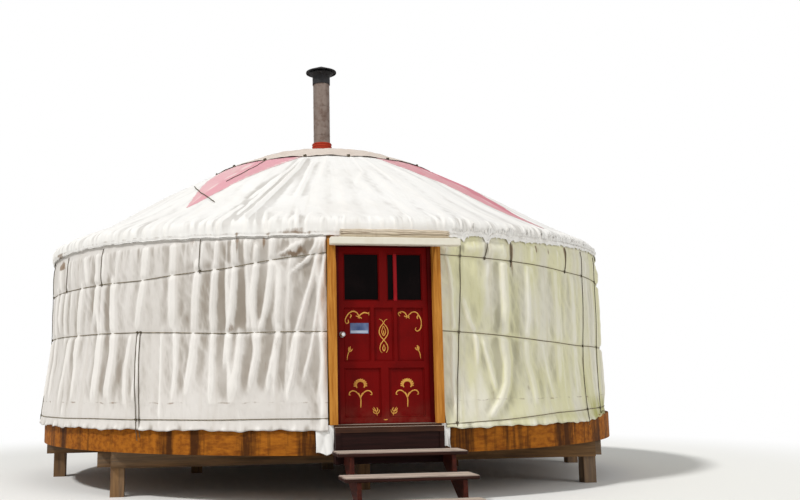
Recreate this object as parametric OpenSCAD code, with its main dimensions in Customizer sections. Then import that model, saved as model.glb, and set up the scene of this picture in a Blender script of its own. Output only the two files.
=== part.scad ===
// A round lattice-walled yurt on a timber deck, in millimetres.
// The origin is on the ground at the foot of the central deck post, +Z is up and the door faces -Y.

/* [Deck] */
// Height of the floor above the lowest ground
floor_top = 735; // [720:5:800]
// Thickness of the floor boards
floor_t = 28; // [24:1:34]
// Reach of the plywood skirt beyond the wall canvas
skirt_reach = 70; // [60:2:90]
// Thickness of the plywood skirt
skirt_t = 15; // [12:1:18]
// Height of the plywood skirt
skirt_h = 280; // [260:5:300]
// Depth of the floor joists
joist_h = 235; // [220:5:240]
// Width of a joist or a beam plank
joist_w = 38; // [34:1:44]
// Spacing of the floor joists
joist_pitch = 600; // [560:10:620]
// Depth of the deck beams
beam_h = 184; // [160:4:200]
// Distance from the middle beam to the front and rear beams
beam_y = 2300; // [2200:10:2350]
// Width of the square deck posts
post_w = 140; // [120:2:160]
// Distance from the deck's edge to the middle of the outer posts
post_inset = 155; // [120:5:200]
// Width of the sill and the riser under it
entry_w = 1040; // [1000:10:1060]
// Drop from the floor to the outer sill
sill_drop = 20; // [15:1:25]
// Thickness of the outer sill
sill_t = 50; // [44:1:56]
// Thickness of the side boards under the sill
side_t = 45; // [38:1:50]

/* [Stair] */
// Drop from the floor to the top tread
first_drop = 228; // [215:1:235]
// Rise from one tread to the next
step_rise = 188; // [180:1:190]
// Run from one tread to the next
step_run = 310; // [280:5:320]
// Thickness of the treads
tread_t = 38; // [32:1:45]
// Length of the treads
tread_w = 1200; // [1100:10:1240]
// Distance of the stair's middle line to the right of the door's
stair_x = 45; // [0:5:60]
// Thickness of the stair stringers
stringer_t = 38; // [32:1:45]
// Distance between the stringers' outer faces
stringer_span = 980; // [880:10:1020]

/* [Wall] */
// Radius over the wall canvas
wall_r = 3500; // [3350:10:3650]
// Thickness of the canvas and felt of the wall
wall_t = 20; // [16:1:24]
// Height of the poles' feet above the floor
wall_h = 1952; // [1930:1:1980]
// Height of the hem's lower edge above the skirt's lower edge
hem_rise = 230; // [210:5:240]
// Height above the floor at which the wall canvas starts to flare
flare_h = 48; // [40:2:55]
// Thickness of the hem of the wall canvas
hem_t = 10; // [8:1:12]
// Canvas panels in the wall
wall_panels = 20; // [16:2:24]
// Width of a lattice lath
lath_w = 35; // [30:1:38]
// Thickness of a lattice lath
lath_t = 10; // [8:1:12]
// Lattice heads in a whole turn, the three over the door among them
heads = 63; // [63]
// Crossings along one lath, less one
lath_rows = 8; // [6:2:10]
// Length of a lath's foot below its lowest crossing
lath_foot = 70; // [50:5:90]
// Length of a lath's head above its highest crossing
lath_head = 62; // [50:2:70]

/* [Roof] */
// Pitch of the roof in degrees
roof_pitch = 27.8; // [27:0.1:29]
// Radius of the roof poles
pole_r = 17; // [15:0.5:19]
// Thickness of the canvas and felt of the roof
roof_t = 20; // [16:1:24]
// Bulge of the roof canvas above its straight slope
roof_swell = 68; // [0:2:80]
// Radii where the bulge is full, starts to fall and ends
swell_r = [1450, 2250, 3000]; // [1450:10:3100]
// Thickness of the roof canvas where it hangs over the wall
eave_t = 12; // [8:1:14]
// Height of the eave's lower edge above the floor
eave_h = 1795; // [1785:1:1830]
// Outer radius of the crown ring
crown_r = 900; // [860:5:940]
// Width of the crown ring's wood
crown_w = 80; // [70:2:90]
// Height of the crown ring's wood
crown_h = 74; // [70:1:84]
// Depth of the pole sockets in the crown ring
socket_d = 40; // [30:1:50]
// Width of a crown spoke
spoke_w = 30; // [26:1:34]
// Height of a crown spoke
spoke_h = 50; // [40:1:60]
// Radius of the crown's hub
hub_r = 110; // [100:2:130]
// Radius of the crown cover's lower edge
cover_r = 1380; // [1300:10:1450]
// Thickness of the crown cover
cover_t = 8; // [6:1:10]
// Height of the crown cover's middle above the crown ring
cover_rise = 8; // [6:1:20]

/* [Flue] */
// Outer radius of the flue pipe
flue_r = 110; // [104:1:112]
// Inner radius of the flue pipe
flue_in_r = 76; // [70:1:80]
// Distance of the flue from the yurt's middle
flue_off = 372; // [368:1:390]
// Direction of the flue from the middle, counted from +X
flue_dir = 257; // [240:0.5:270]
// Height of the flue pipe's lower end above the ground
flue_low = 3800; // [3700:10:3850]
// Height of the rain cap's top above the ground
flue_top = 5380; // [5300:10:5500]
// Radius of the rain cap
cap_r = 205; // [180:1:220]
// Height of the rain cap
cap_h = 100; // [90:1:110]
// Height of the flashing boot
boot_h = 190; // [150:5:220]

/* [Door] */
// Width of the door leaf
leaf_w = 900; // [880:2:910]
// Height of the door leaf
leaf_h = 1690; // [1670:2:1694]
// Thickness of the door leaf
leaf_t = 44; // [40:1:46]
// Width of the door leaf's stiles
stile_w = 58; // [57:1:64]
// Width of the mullion between the panes and between the lower panels
mullion_w = 76; // [60:2:90]
// Width of the narrow panel in the middle of the leaf
mid_panel_w = 194; // [170:2:220]
// Width of the bars beside the narrow panel
bar_stile_w = 34; // [28:1:44]
// Thickness of the door panels
panel_t = 14; // [10:1:16]
// Depth of the grooves that hold the panels
groove = 9; // [6:1:12]
// Thickness of the window glass
glass_t = 4; // [3:0.5:6]
// Gap round the door leaf
leaf_gap = 5; // [5:0.5:6]
// Thickness of the casing round the door leaf
casing_t = 25; // [22:1:28]
// Width of the jambs, seen from the front
jamb_w = 75; // [72:1:80]
// Depth of the jambs
jamb_d = 150; // [140:1:155]
// Reach of the frame beyond the wall canvas
frame_reach = 60; // [56:1:66]
// Height over which the jambs' front boards curve away at the top
jamb_curve_h = 270; // [200:10:320]
// Width that the curve takes off the jambs' front boards at the top
jamb_curve_w = 62; // [50:1:66]
// Thickness of the jambs' front boards
jamb_face = 30; // [24:1:36]
// Depth of the lintel box in front of the frame
lintel_d = 100; // [80:5:120]
// Height of the lintel box
lintel_h = 70; // [60:1:80]
// Reach of the lintel to the left of the door's middle
lintel_left = 545; // [500:5:580]
// Reach of the lintel to the right of the door's middle
lintel_right = 735; // [700:5:760]
// Radius of the rolled door flap
roll_r = 50; // [40:1:55]
// Reach of the rolled flap to the left of the door's middle
roll_left = 430; // [400:5:480]
// Reach of the rolled flap to the right of the door's middle
roll_right = 635; // [600:5:680]
// Height of the knob above the leaf's lower edge
knob_h = 840; // [800:5:880]
// Distance of the knob from the leaf's edge
backset = 40; // [40:1:41]
// Radius of the knob
knob_r = 26; // [22:1:27]

/* [Ropes] */
// Radius of the girth ropes
rope_r = 6; // [5:0.5:7]
// Heights of the girth ropes above the floor: lower, middle and upper
rope_h = [58, 886, 1542]; // [50:1:1600]
// Radius of the upright ties
tie_r = 5; // [4:0.5:6]

/* [Hidden] */
fine = 256;
fit = 0.3; // clearance where curved faces lie on each other
seam = 0.01; // opening between canvas panels, in degrees
pin_gap = 0.05; // running clearance of pins and spindles
front = 270; // direction of the door, counted from +X
e = 1; // length by which a cut runs past a face

// Deck
skirt_r = wall_r + skirt_reach;
joist_top = floor_top - floor_t;
joist_low = joist_top - joist_h;
skirt_low = floor_top - skirt_h;
skirt_in = skirt_r - skirt_t;
floor_r = skirt_in - fit;
hem_z = skirt_low + hem_rise;
frame_y = wall_r + frame_reach;
sill_y = frame_y + 80;
entry_half = asin((entry_w/2 + skirt_t) / skirt_in);
sill_low = floor_top - sill_drop - sill_t;
board_t = 20;
riser_lap = 90;
riser_set = 12; // distance of the riser behind the side boards' front edges

// Wall
pole_foot_z = floor_top + wall_h;
lat_r = wall_r - wall_t - fit - lath_t;
head_step = 360 / heads;
door_half_w = leaf_w/2 + leaf_gap + casing_t + jamb_w;
wall_half = asin((door_half_w + fit) / (wall_r - wall_t));
lattice_half = asin((door_half_w + fit) / (lat_r - lath_t));

// Roof: the poles' middle line and the two faces of the cover over it
function pole_z(r) = pole_foot_z + (lat_r - r) * tan(roof_pitch);
function swell(r) = roof_swell * lookup(r, [[crown_r, 0], [swell_r[0], 1], [swell_r[1], 1], [swell_r[2], 0]]);
function cover_in(r) = pole_z(r) + (pole_r + fit) / cos(roof_pitch) + swell(r);
function cover_out(r) = cover_in(r) + roof_t / cos(roof_pitch);
eave_z = floor_top + eave_h;
eave_r = wall_r + fit + eave_t;
crown_mid = pole_z(crown_r);
crown_top = crown_mid + crown_h/2;
crown_in = crown_r - crown_w;

// A lath leans so far that its rows of crossings fall on the lattice heads
row_lean = head_step / 2;
function lean(rise) = atan(lat_r * sin(lath_rows/2 * row_lean) / (lath_rows/2 * rise));
foot_z = floor_top + lath_foot;
guess_lean = lean((wall_h - 2*lath_foot) / lath_rows);
notch = (lath_w/2 + sqrt(pow(pole_r * cos(guess_lean), 2)
    + pow(pole_r * sin(guess_lean) / cos(roof_pitch), 2))) / sin(guess_lean) + lath_t * tan(roof_pitch);
top_cross_z = pole_foot_z - notch;
row_rise = (top_cross_z - foot_z) / lath_rows;
lath_lean = lean(row_rise);

// Door
leaf_low = floor_top + leaf_gap;
leaf_top = leaf_low + leaf_h;
leaf_in_y = -(frame_y - jamb_d);
leaf_out_y = leaf_in_y - leaf_t;
casing_out = leaf_w/2 + leaf_gap + casing_t;
casing_top = leaf_top + leaf_gap + casing_t;
head_t = 40;
head_top = casing_top + head_t;
stop_w = 12;
stop_t = 20;
header_d = 50;
header_y = -sqrt(pow(wall_r - wall_t, 2) - pow(door_half_w, 2)) + fit;
header_top = pole_z(-header_y / cos(head_step)); // notched for the poles down from their middle line
curve_r = (pow(jamb_curve_w, 2) + pow(jamb_curve_h, 2)) / (2 * jamb_curve_w);
knob_x = -(leaf_w/2 - backset);
knob_z = leaf_low + knob_h;
spindle_r = 7;
rose_r = 27;
rose_t = 5;
pin_r = 3;
barrel_r = 6;
plate_t = 3;
plate_w = 22;
frame_plate_w = 18;
plate_set = barrel_r + 1; // distance of the plates from the pin's axis
hinge_h = 90;
hinge_x = leaf_w/2 + leaf_gap/2;
hinge_y = leaf_in_y + barrel_r + fit;
hinge_zs = [leaf_low + 200, leaf_low + leaf_h/2 - hinge_h/2, leaf_top - 200 - hinge_h];

// Rails of the leaf from below: height of each rail's lower edge, and its own height
bottom_rail = 58;
lock_rail_low = 520;
rail_h = 66;
upper_rail_low = 1100;
top_rail = 60;

// A ring-shaped sector: profile points (r, z) turned from angle a0 to a1
module turned(profile, a0, a1) {
    rotate([0, 0, a0]) rotate_extrude(angle = a1 - a0, $fn = fine) polygon(profile);
}

// A straight round rod between two points
module rod(p, q, r) {
    d = q - p;
    translate(p) rotate([0, acos(d.z / norm(d)), atan2(d.y, d.x)]) cylinder(r = r, h = norm(d), $fn = 24);
}

module box(lo, hi) {
    translate(lo) cube(hi - lo);
}

// Half the length of a chord of the deck at a distance from its middle
function chord(r, d) = sqrt(r*r - d*d);

module deck_posts() {
    color("peru") for (y = [-beam_y, 0, beam_y]) {
        side = y == 0 ? 2 : 1;
        pitch = (chord(floor_r, abs(y)) - post_inset) / side;
        for (k = [-side:side])
            box([k * pitch - post_w/2, y - post_w/2, 0], [k * pitch + post_w/2, y + post_w/2, joist_low]);
    }
}

module deck_beams() {
    color("sienna") for (y = [-beam_y, 0, beam_y], s = [-1, 1]) {
        inner = y + s * post_w/2;
        outer = inner + s * joist_w;
        half = chord(floor_r, max(abs(inner), abs(outer))) - e;
        box([-half, min(inner, outer), joist_low - beam_h], [half, max(inner, outer), joist_low]);
    }
}

module joist(x, front_half) {
    box([x - joist_w/2, -front_half, joist_low], [x + joist_w/2, joist_half(x), joist_top]);
}

function joist_half(x) = chord(floor_r, abs(x) + joist_w/2) - fit;

// Joists at an even spacing, with one on each side of the entry in place of the nearest
module deck_joists() {
    count = floor((floor_r - joist_w) / joist_pitch);
    trim_x = entry_w/2 + joist_w/2;
    color("peru") {
        for (x = [-trim_x, trim_x]) joist(x, joist_half(x));
        for (k = [-count:count]) {
            x = k * joist_pitch;
            if (abs(abs(x) - trim_x) > 2 * joist_w) joist(x, abs(x) < trim_x ? -leaf_in_y : joist_half(x));
        }
    }
}

module floor_deck() {
    color("burlywood") difference() {
        translate([0, 0, joist_top]) cylinder(r = floor_r, h = floor_t, $fn = fine);
        box([-entry_w/2, -floor_r - e, joist_top - e], [entry_w/2, leaf_in_y, floor_top + e]);
    }
}

module skirt_sheet(a0, a1) {
    turned([[skirt_in, skirt_low], [skirt_r, skirt_low], [skirt_r, floor_top], [skirt_in, floor_top]],
        a0, a1);
}

sheet_turn = 39; // one sheet of plywood, in degrees
front_end = (360 - 7 * sheet_turn) / 2;

module skirt_front() {
    color("chocolate") {
        skirt_sheet(front + entry_half, front + front_end - seam);
        skirt_sheet(front - front_end + seam, front - entry_half);
    }
}

module skirt_rear() {
    color("chocolate") for (k = [0:6]) {
        a = front + front_end + k * sheet_turn;
        skirt_sheet(a, a + sheet_turn - seam);
    }
}

// A threshold under the door frame and a thick outer sill one step below it
module door_sill() {
    color("tan") {
        box([-entry_w/2, -frame_y, joist_top], [entry_w/2, leaf_in_y, floor_top]);
        box([-entry_w/2, -sill_y, sill_low], [entry_w/2, -frame_y, floor_top - sill_drop]);
    }
}

riser_low = floor_top - first_drop - tread_t - riser_lap;

// The riser stands between two side boards that run back to the skirt
module entry_riser() {
    riser_half = entry_w/2 - side_t - fit;
    riser_y = -sill_y + riser_set;
    back_y = -chord(skirt_r, entry_w/2) + skirt_t;
    color("saddlebrown") {
        box([-riser_half, riser_y, riser_low], [riser_half, riser_y + board_t, sill_low]);
        for (s = [-1, 1]) {
            x = s * (entry_w - side_t) / 2;
            box([x - side_t/2, -sill_y, riser_low], [x + side_t/2, back_y, sill_low]);
        }
    }
}

// Height of a tread's top face, counted from the upper one
function tread_top(k) = floor_top - first_drop - k * step_rise;
stair_back = sill_y;

module stair_stringers() {
    low = 0;
    saw = [for (k = [0:2]) each [
        [stair_back + k * step_run, tread_top(k) - tread_t],
        [stair_back + (k + 1) * step_run - board_t, tread_top(k) - tread_t]]];
    outline = concat([[stair_back, riser_low]], saw,
        [[stair_back + 3 * step_run - board_t, low], [stair_back + 2 * step_run - board_t, low]]);
    color("brown") for (s = [-1, 1]) {
        x = stair_x + s * (stringer_span - stringer_t) / 2 + stringer_t/2;
        translate([x, 0, 0]) rotate([90, 0, -90]) linear_extrude(stringer_t) polygon(outline);
    }
}

module stair_treads() {
    color("dimgray") for (k = [0:2]) {
        y = -stair_back - k * step_run;
        box([stair_x - tread_w/2, y - step_run, tread_top(k) - tread_t],
            [stair_x + tread_w/2, y - (k > 0 ? fit : 0), tread_top(k)]);
    }
}

// The jambs' front boards curve away from the door at the top
module door_jambs() {
    curve_z = head_top - jamb_curve_h;
    color("goldenrod") for (m = [0, 1]) mirror([m, 0, 0]) difference() {
        box([casing_out, -frame_y, floor_top], [door_half_w, leaf_in_y, head_top]);
        difference() {
            box([casing_out - e, -frame_y - e, curve_z],
                [casing_out + jamb_curve_w, -frame_y + jamb_face, head_top + e]);
            translate([casing_out + curve_r, 0, curve_z]) rotate([90, 0, 0])
                cylinder(r = curve_r, h = frame_y + 2*e, $fn = fine);
        }
    }
}

module door_head() {
    color("goldenrod") box([-casing_out, -frame_y, casing_top], [casing_out, leaf_in_y, head_top]);
}

// Casing with a rebate: the leaf shuts against its stop
module door_casing() {
    stop_y = leaf_t + leaf_gap;
    side = [[0, 0], [casing_t, 0], [casing_t, stop_y + stop_t], [-stop_w, stop_y + stop_t], [-stop_w, stop_y],
        [0, stop_y]];
    color("darkred") {
        for (m = [0, 1]) mirror([m, 0, 0]) translate([leaf_w/2 + leaf_gap, leaf_in_y, floor_top])
            mirror([0, 1, 0]) linear_extrude(casing_top - casing_t - floor_top - fit) polygon(side);
        translate([-casing_out, leaf_in_y, casing_top - casing_t]) rotate([90, 0, 90])
            linear_extrude(2 * casing_out)
                polygon([[0, 0], [0, casing_t], [-stop_y - stop_t, casing_t], [-stop_y - stop_t, 0]]);
    }
}

// Carries the poles over the door in slanting notches
module pole_header() {
    color("burlywood") difference() {
        box([-door_half_w, header_y, head_top], [door_half_w, header_y + header_d, header_top]);
        for (k = [-1:1]) roof_pole(k, pole_r + fit);
    }
}

module lintel() {
    color("beige") box([-lintel_left, -frame_y - lintel_d, head_top - lintel_h],
        [lintel_right, -frame_y, head_top]);
}

module door_flap_roll() {
    color("tan") translate([-roll_left, -(eave_r + roll_r + fit), head_top + roll_r + fit])
        rotate([0, 90, 0]) cylinder(r = roll_r, h = roll_right + roll_left, $fn = 48);
}

// Ends of the wall canvas that hang beside the entry
left_flap_w = 160;
right_flap_w = 85;
flap_t = 4;
flap_reach = 50; // below the top tread

module hem_flaps() {
    near = entry_w/2 + 5;
    y = -(skirt_r + fit + hem_t) * cos(wall_half) - fit;
    low = floor_top - first_drop - flap_reach;
    color("whitesmoke") {
        box([-near - left_flap_w, y - flap_t, low], [-near, y, floor_top - fit]);
        box([near, y - flap_t, low], [near + right_flap_w, y, floor_top - fit]);
    }
}

// Openings of the leaf: lower left x, lower z, width and height, all within the leaf
inner_w = leaf_w - 2 * stile_w;
half_w = (inner_w - mullion_w) / 2;
side_panel_w = (inner_w - mid_panel_w) / 2 - bar_stile_w;
function row_z(low, high) = [low, high - low];
lower_row = row_z(bottom_rail, lock_rail_low);
upper_row = row_z(lock_rail_low + rail_h, upper_rail_low);
light_row = row_z(upper_rail_low + rail_h, leaf_h - top_rail);
function halves(row) = [for (k = [0, 1]) [stile_w + k * (half_w + mullion_w), row[0], half_w, row[1]]];
panel_fields = concat(halves(lower_row), [
    [stile_w, upper_row[0], side_panel_w, upper_row[1]],
    [(leaf_w - mid_panel_w) / 2, upper_row[0], mid_panel_w, upper_row[1]],
    [leaf_w - stile_w - side_panel_w, upper_row[0], side_panel_w, upper_row[1]]]);
light_fields = halves(light_row);
leaf_mid_y = (leaf_in_y + leaf_out_y) / 2;

// A plate of thickness t in the middle of the leaf, larger than its field by g all round
module field_plate(f, t, g) {
    translate([-leaf_w/2 + f[0] - g, leaf_mid_y - t/2, leaf_low + f[1] - g])
        cube([f[2] + 2*g, t, f[3] + 2*g]);
}

module door_leaf() {
    color("firebrick") difference() {
        box([-leaf_w/2, leaf_out_y, leaf_low], [leaf_w/2, leaf_in_y, leaf_top]);
        for (f = panel_fields) { field_plate(f, leaf_t + 2*e, 0); field_plate(f, panel_t, groove); }
        for (f = light_fields) { field_plate(f, leaf_t + 2*e, 0); field_plate(f, glass_t, groove); }
        translate([knob_x, leaf_out_y - e, knob_z]) rotate([-90, 0, 0])
            cylinder(r = spindle_r + pin_gap, h = leaf_t + 2*e, $fn = 48);
    }
}

module door_panels() {
    color("firebrick") for (f = panel_fields) field_plate(f, panel_t, groove);
}

module door_glass() {
    color("slategray") for (f = light_fields) field_plate(f, glass_t, groove);
}

module knob_roses() {
    color("silver") translate([knob_x, 0, knob_z]) for (y = [leaf_out_y - rose_t, leaf_in_y])
        translate([0, y, 0]) rotate([-90, 0, 0]) difference() {
            cylinder(r = rose_r, h = rose_t, $fn = 64);
            translate([0, 0, -e]) cylinder(r = spindle_r + pin_gap, h = rose_t + 2*e, $fn = 48);
        }
}

// Outer and inner knob on one spindle
module door_knob() {
    reach = leaf_t/2 + rose_t + 5;
    head = 42;
    outer = [[spindle_r, reach], [knob_r * 0.55, reach], [knob_r, reach + head * 0.4],
        [knob_r, reach + head * 0.75], [knob_r * 0.6, reach + head], [0, reach + head]];
    inner = [for (k = [5:-1:0]) [outer[k][0], -outer[k][1]]];
    color("silver") translate([knob_x, leaf_mid_y, knob_z]) rotate([90, 0, 0])
        rotate_extrude($fn = 64) polygon(concat(inner, outer));
}

knuckle = hinge_h / 3;
knuckle_gap = 0.5;

module hinge_frame_plates() {
    plate_x = hinge_x + plate_set;
    color("dimgray") for (z = hinge_zs) {
        translate([hinge_x, hinge_y, z]) cylinder(r = pin_r, h = hinge_h, $fn = 32);
        for (k = [0, 2]) {
            translate([hinge_x, hinge_y, z + k * knuckle]) cylinder(r = barrel_r, h = knuckle, $fn = 32);
            box([hinge_x, leaf_in_y + fit, z + k * knuckle],
                [plate_x + e, leaf_in_y + fit + plate_t, z + (k + 1) * knuckle]);
        }
        box([plate_x, leaf_in_y, z], [plate_x + frame_plate_w, leaf_in_y + fit + plate_t, z + hinge_h]);
    }
}

module hinge_leaf_plates() {
    plate_x = hinge_x - plate_set;
    color("dimgray") for (z = hinge_zs) {
        difference() {
            union() {
                translate([hinge_x, hinge_y, z + knuckle + knuckle_gap])
                    cylinder(r = barrel_r, h = knuckle - 2 * knuckle_gap, $fn = 32);
                box([plate_x - e, leaf_in_y + fit, z + knuckle + knuckle_gap],
                    [hinge_x, leaf_in_y + fit + plate_t, z + 2 * knuckle - knuckle_gap]);
            }
            translate([hinge_x, hinge_y, z]) cylinder(r = pin_r + pin_gap, h = hinge_h, $fn = 32);
        }
        box([plate_x - plate_w, leaf_in_y, z], [plate_x, leaf_in_y + fit + plate_t, z + hinge_h]);
    }
}

// Slanted bars of one layer, cut out of a thin shell so that each follows the wall
module lath_layer(first, last, way, r_in) {
    length = (lath_rows * row_rise + lath_foot + lath_head) / cos(lath_lean) + 2 * lath_w;
    mid_z = (foot_z + top_cross_z) / 2;
    low_z = floor_top;
    high_z = top_cross_z + lath_head;
    intersection() {
        translate([0, 0, low_z]) difference() {
            cylinder(r = r_in + lath_t, h = high_z - low_z, $fn = fine);
            translate([0, 0, -e]) cylinder(r = r_in, h = high_z - low_z + 2*e, $fn = fine);
        }
        for (k = [first:last]) rotate([0, 0, front + k * head_step]) translate([lat_r - 60, 0, mid_z])
            rotate([way * lath_lean, 0, 0]) cube([300, lath_w, length], center = true);
    }
}

// One lattice wall of a sixth of the heads, ten columns of crossings
module lattice_wall(n) {
    columns = (heads - 3) / 6;
    first = 2 + n * columns;
    a0 = n == 0 ? lattice_half : (first - 0.25) * head_step;
    a1 = n == 5 ? 360 - lattice_half : (first + columns - 0.25) * head_step - seam;
    spread = lath_rows / 2 + 1;
    color("darkorange") intersection() {
        union() {
            lath_layer(first - spread, first + columns + spread, 1, lat_r);
            lath_layer(first - spread, first + columns + spread, -1, lat_r - lath_t);
        }
        turned([[lat_r - 3 * lath_t, 0], [lat_r + 3 * lath_t, 0], [lat_r + 3 * lath_t, pole_foot_z + 300],
            [lat_r - 3 * lath_t, pole_foot_z + 300]], front + a0, front + a1);
    }
}

module lattice_1() { lattice_wall(0); }
module lattice_2() { lattice_wall(1); }
module lattice_3() { lattice_wall(2); }
module lattice_4() { lattice_wall(3); }
module lattice_5() { lattice_wall(4); }
module lattice_6() { lattice_wall(5); }

pole_low_r = wall_r - wall_t - 2;
pole_high_r = crown_r - (socket_d - fit) * cos(roof_pitch);

module roof_pole(k, r) {
    foot_r = pole_low_r - pole_r * sin(roof_pitch);
    rotate([0, 0, front + k * head_step])
        rod([foot_r, 0, pole_z(foot_r)], [pole_high_r, 0, pole_z(pole_high_r)], r);
}

module roof_poles() {
    color("orange") for (k = [0:heads - 1]) roof_pole(k, pole_r);
}

felloes = 9;

module crown_ring() {
    crown_low = crown_mid - crown_h/2;
    color("darkorange") difference() {
        for (k = [0:felloes - 1]) {
            a = front + head_step/2 + k * 360 / felloes;
            turned([[crown_in, crown_low], [crown_r, crown_low], [crown_r, crown_top], [crown_in, crown_top]],
                a, a + 360 / felloes - 4 * seam);
        }
        for (k = [0:heads - 1]) rotate([0, 0, front + k * head_step]) translate([crown_r, 0, crown_mid])
            rotate([0, -90 + roof_pitch, 0]) translate([0, 0, -crown_h])
                cylinder(r = pole_r + fit, h = crown_h + socket_d, $fn = 24);
    }
}

spoke_z = crown_top - spoke_h;

module crown_spokes() {
    end_r = crown_in - fit - spoke_w * spoke_w / (8 * crown_in);
    color("darkorange") {
        for (k = [0:7]) rotate([0, 0, flue_dir + 22.5 + k * 45])
            box([hub_r + fit + e/2, -spoke_w/2, spoke_z], [end_r, spoke_w/2, crown_top]);
        translate([0, 0, spoke_z]) cylinder(r = hub_r, h = spoke_h, $fn = 64);
    }
}

wall_profile = [
    [wall_r - wall_t, floor_top + flare_h], [wall_r - wall_t, cover_in(wall_r - wall_t) - fit],
    [wall_r, cover_in(wall_r) - fit], [wall_r, floor_top + flare_h],
    [skirt_r + fit + hem_t, floor_top + fit], [skirt_r + fit + hem_t, hem_z], [skirt_r + fit, hem_z],
    [skirt_r + fit, floor_top + fit]];

module wall_canvas(first, last) {
    turn = (360 - 2 * wall_half) / wall_panels;
    color("ivory") for (k = [first:last]) {
        a = front + wall_half + k * turn;
        turned(wall_profile, a + seam/2, a + turn - seam/2);
    }
}

wall_side = floor(wall_panels * 0.35);
module wall_cover_right() { wall_canvas(0, wall_side - 1); }
module wall_cover_back() { wall_canvas(wall_side, wall_panels - wall_side - 1); }
module wall_cover_left() { wall_canvas(wall_panels - wall_side, wall_panels - 1); }

gores = heads / 3;
roof_hole = crown_r + fit;
roof_profile = [
    for (r = [roof_hole, each swell_r, wall_r - 40]) [r, cover_out(r)],
    [eave_r, cover_out(wall_r)], [eave_r, eave_z], [wall_r + fit, eave_z],
    for (r = [wall_r + fit, swell_r[2], swell_r[1], swell_r[0], roof_hole]) [r, cover_in(r)]];

module roof_canvas(first, last) {
    turn = 360 / gores;
    color("white") for (k = [first:last]) {
        a = front + (k - 0.5) * turn;
        turned(roof_profile, a + seam/2, a + turn - seam/2);
    }
}

module roof_cover_front() { roof_canvas(-5, 5); }
module roof_cover_rear() { roof_canvas(6, gores - 6); }

// The cover rests on the crown ring and the roof canvas, and is flat where the flue comes through
knee = max(cover_out(crown_r), crown_top) + fit;
cover_top = knee + cover_rise + cover_t;
boot_r = 170;
flat_r = flue_off + boot_r + 20;

module crown_cover() {
    rim = cover_out(cover_r) + fit;
    color("lightgray") difference() {
        rotate_extrude($fn = fine) polygon([
            [0, cover_top - cover_t], [flat_r, cover_top - cover_t], [crown_r, knee], [cover_r, rim],
            [cover_r, rim + cover_t], [crown_r, knee + cover_t], [flat_r, cover_top], [0, cover_top]]);
        at_flue() translate([0, 0, knee - e])
            cylinder(r = flue_r + fit, h = cover_rise + cover_t + 2*e, $fn = 96);
    }
}

module girth_ropes() {
    r = wall_r + fit + rope_r;
    half = asin((door_half_w + fit) / (r - rope_r)) + 0.05;
    color("khaki") for (h = rope_h) rotate([0, 0, front + half])
        rotate_extrude(angle = 360 - 2 * half, $fn = fine)
            translate([r, floor_top + h]) circle(r = rope_r, $fn = 16);
}

// Directions of the upright ropes, counted from the door towards +X
tie_dirs = [12.6, 45, 55, 100, 145, 190, 235, 280, 316, 320];

module tie_ropes() {
    r = wall_r + 2 * fit + 2 * rope_r + tie_r;
    color("khaki") for (a = tie_dirs) rotate([0, 0, front + a])
        rod([r, 0, floor_top + rope_h[0] - rope_r], [r, 0, eave_z - fit], tie_r);
}

module at_flue() {
    rotate([0, 0, flue_dir]) translate([flue_off, 0, 0]) children();
}

module flue_pipe() {
    color("dimgray") at_flue() translate([0, 0, flue_low]) difference() {
        cylinder(r = flue_r, h = pipe_top - flue_low, $fn = 96);
        translate([0, 0, -e]) cylinder(r = flue_in_r, h = flue_top - flue_low, $fn = 96);
    }
}

// A square of steel bars under the two spokes beside the flue
bar_w = 20;
bar_h = 30;

module flue_bracket() {
    near = flue_r + fit + bar_w/2;
    z = spoke_z - bar_h;
    color("gray") at_flue() for (s = [-1, 1]) {
        half = (flue_off + s * near) * tan(22.5) + 2 * spoke_w;
        box([s * near - bar_w/2, -half, z], [s * near + bar_w/2, half, z + bar_h]);
        box([-near + bar_w/2 + fit, s * near - bar_w/2, z],
            [near - bar_w/2 - fit, s * near + bar_w/2, z + bar_h]);
    }
}

module flue_boot() {
    collar_r = flue_r + 16;
    color("crimson") at_flue() translate([0, 0, cover_top + fit]) difference() {
        rotate_extrude($fn = 96)
            polygon([[0, 0], [boot_r, 0], [boot_r, 6], [collar_r, 60], [collar_r, boot_h], [0, boot_h]]);
        translate([0, 0, -e]) cylinder(r = flue_r + fit, h = boot_h + 2*e, $fn = 96);
    }
}

// Height of the rain cap's outer face over a distance from the pipe's axis
cap_rim = 14;
cap_t = 6;
pipe_top = flue_top - cap_h;
function hood_z(r) = pipe_top + cap_rim + (cap_h - cap_rim) * (1 - r / cap_r);

// Conical rain cap on four straps over the open pipe, with a flared storm collar below
module flue_cap() {
    strap_w = 30;
    strap_t = 4;
    strap_r = flue_r + fit;
    collar_h = 110;
    collar_t = 8;
    flare_r = flue_r + 50;
    color("black") at_flue() {
        rotate_extrude($fn = 96) polygon([[0, flue_top], [cap_r, hood_z(cap_r)], [cap_r, pipe_top],
            [cap_r - cap_t, pipe_top], [cap_r - cap_t, hood_z(cap_r) - cap_t], [0, flue_top - cap_t]]);
        translate([0, 0, pipe_top - collar_h]) rotate_extrude($fn = 96) polygon([
            [flue_r + fit, -collar_h/2], [flue_r + collar_t, -collar_h/2],
            [flue_r + collar_t, collar_h/2], [flare_r, collar_h * 0.9],
            [flare_r - collar_t, collar_h * 0.9], [flue_r + fit, collar_h/2]]);
        for (a = [45:90:315]) rotate([0, 0, a]) box([strap_r, -strap_w/2, pipe_top - collar_h],
            [strap_r + strap_t, strap_w/2, hood_z(strap_r) - cap_t/2]);
    }
}

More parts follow.
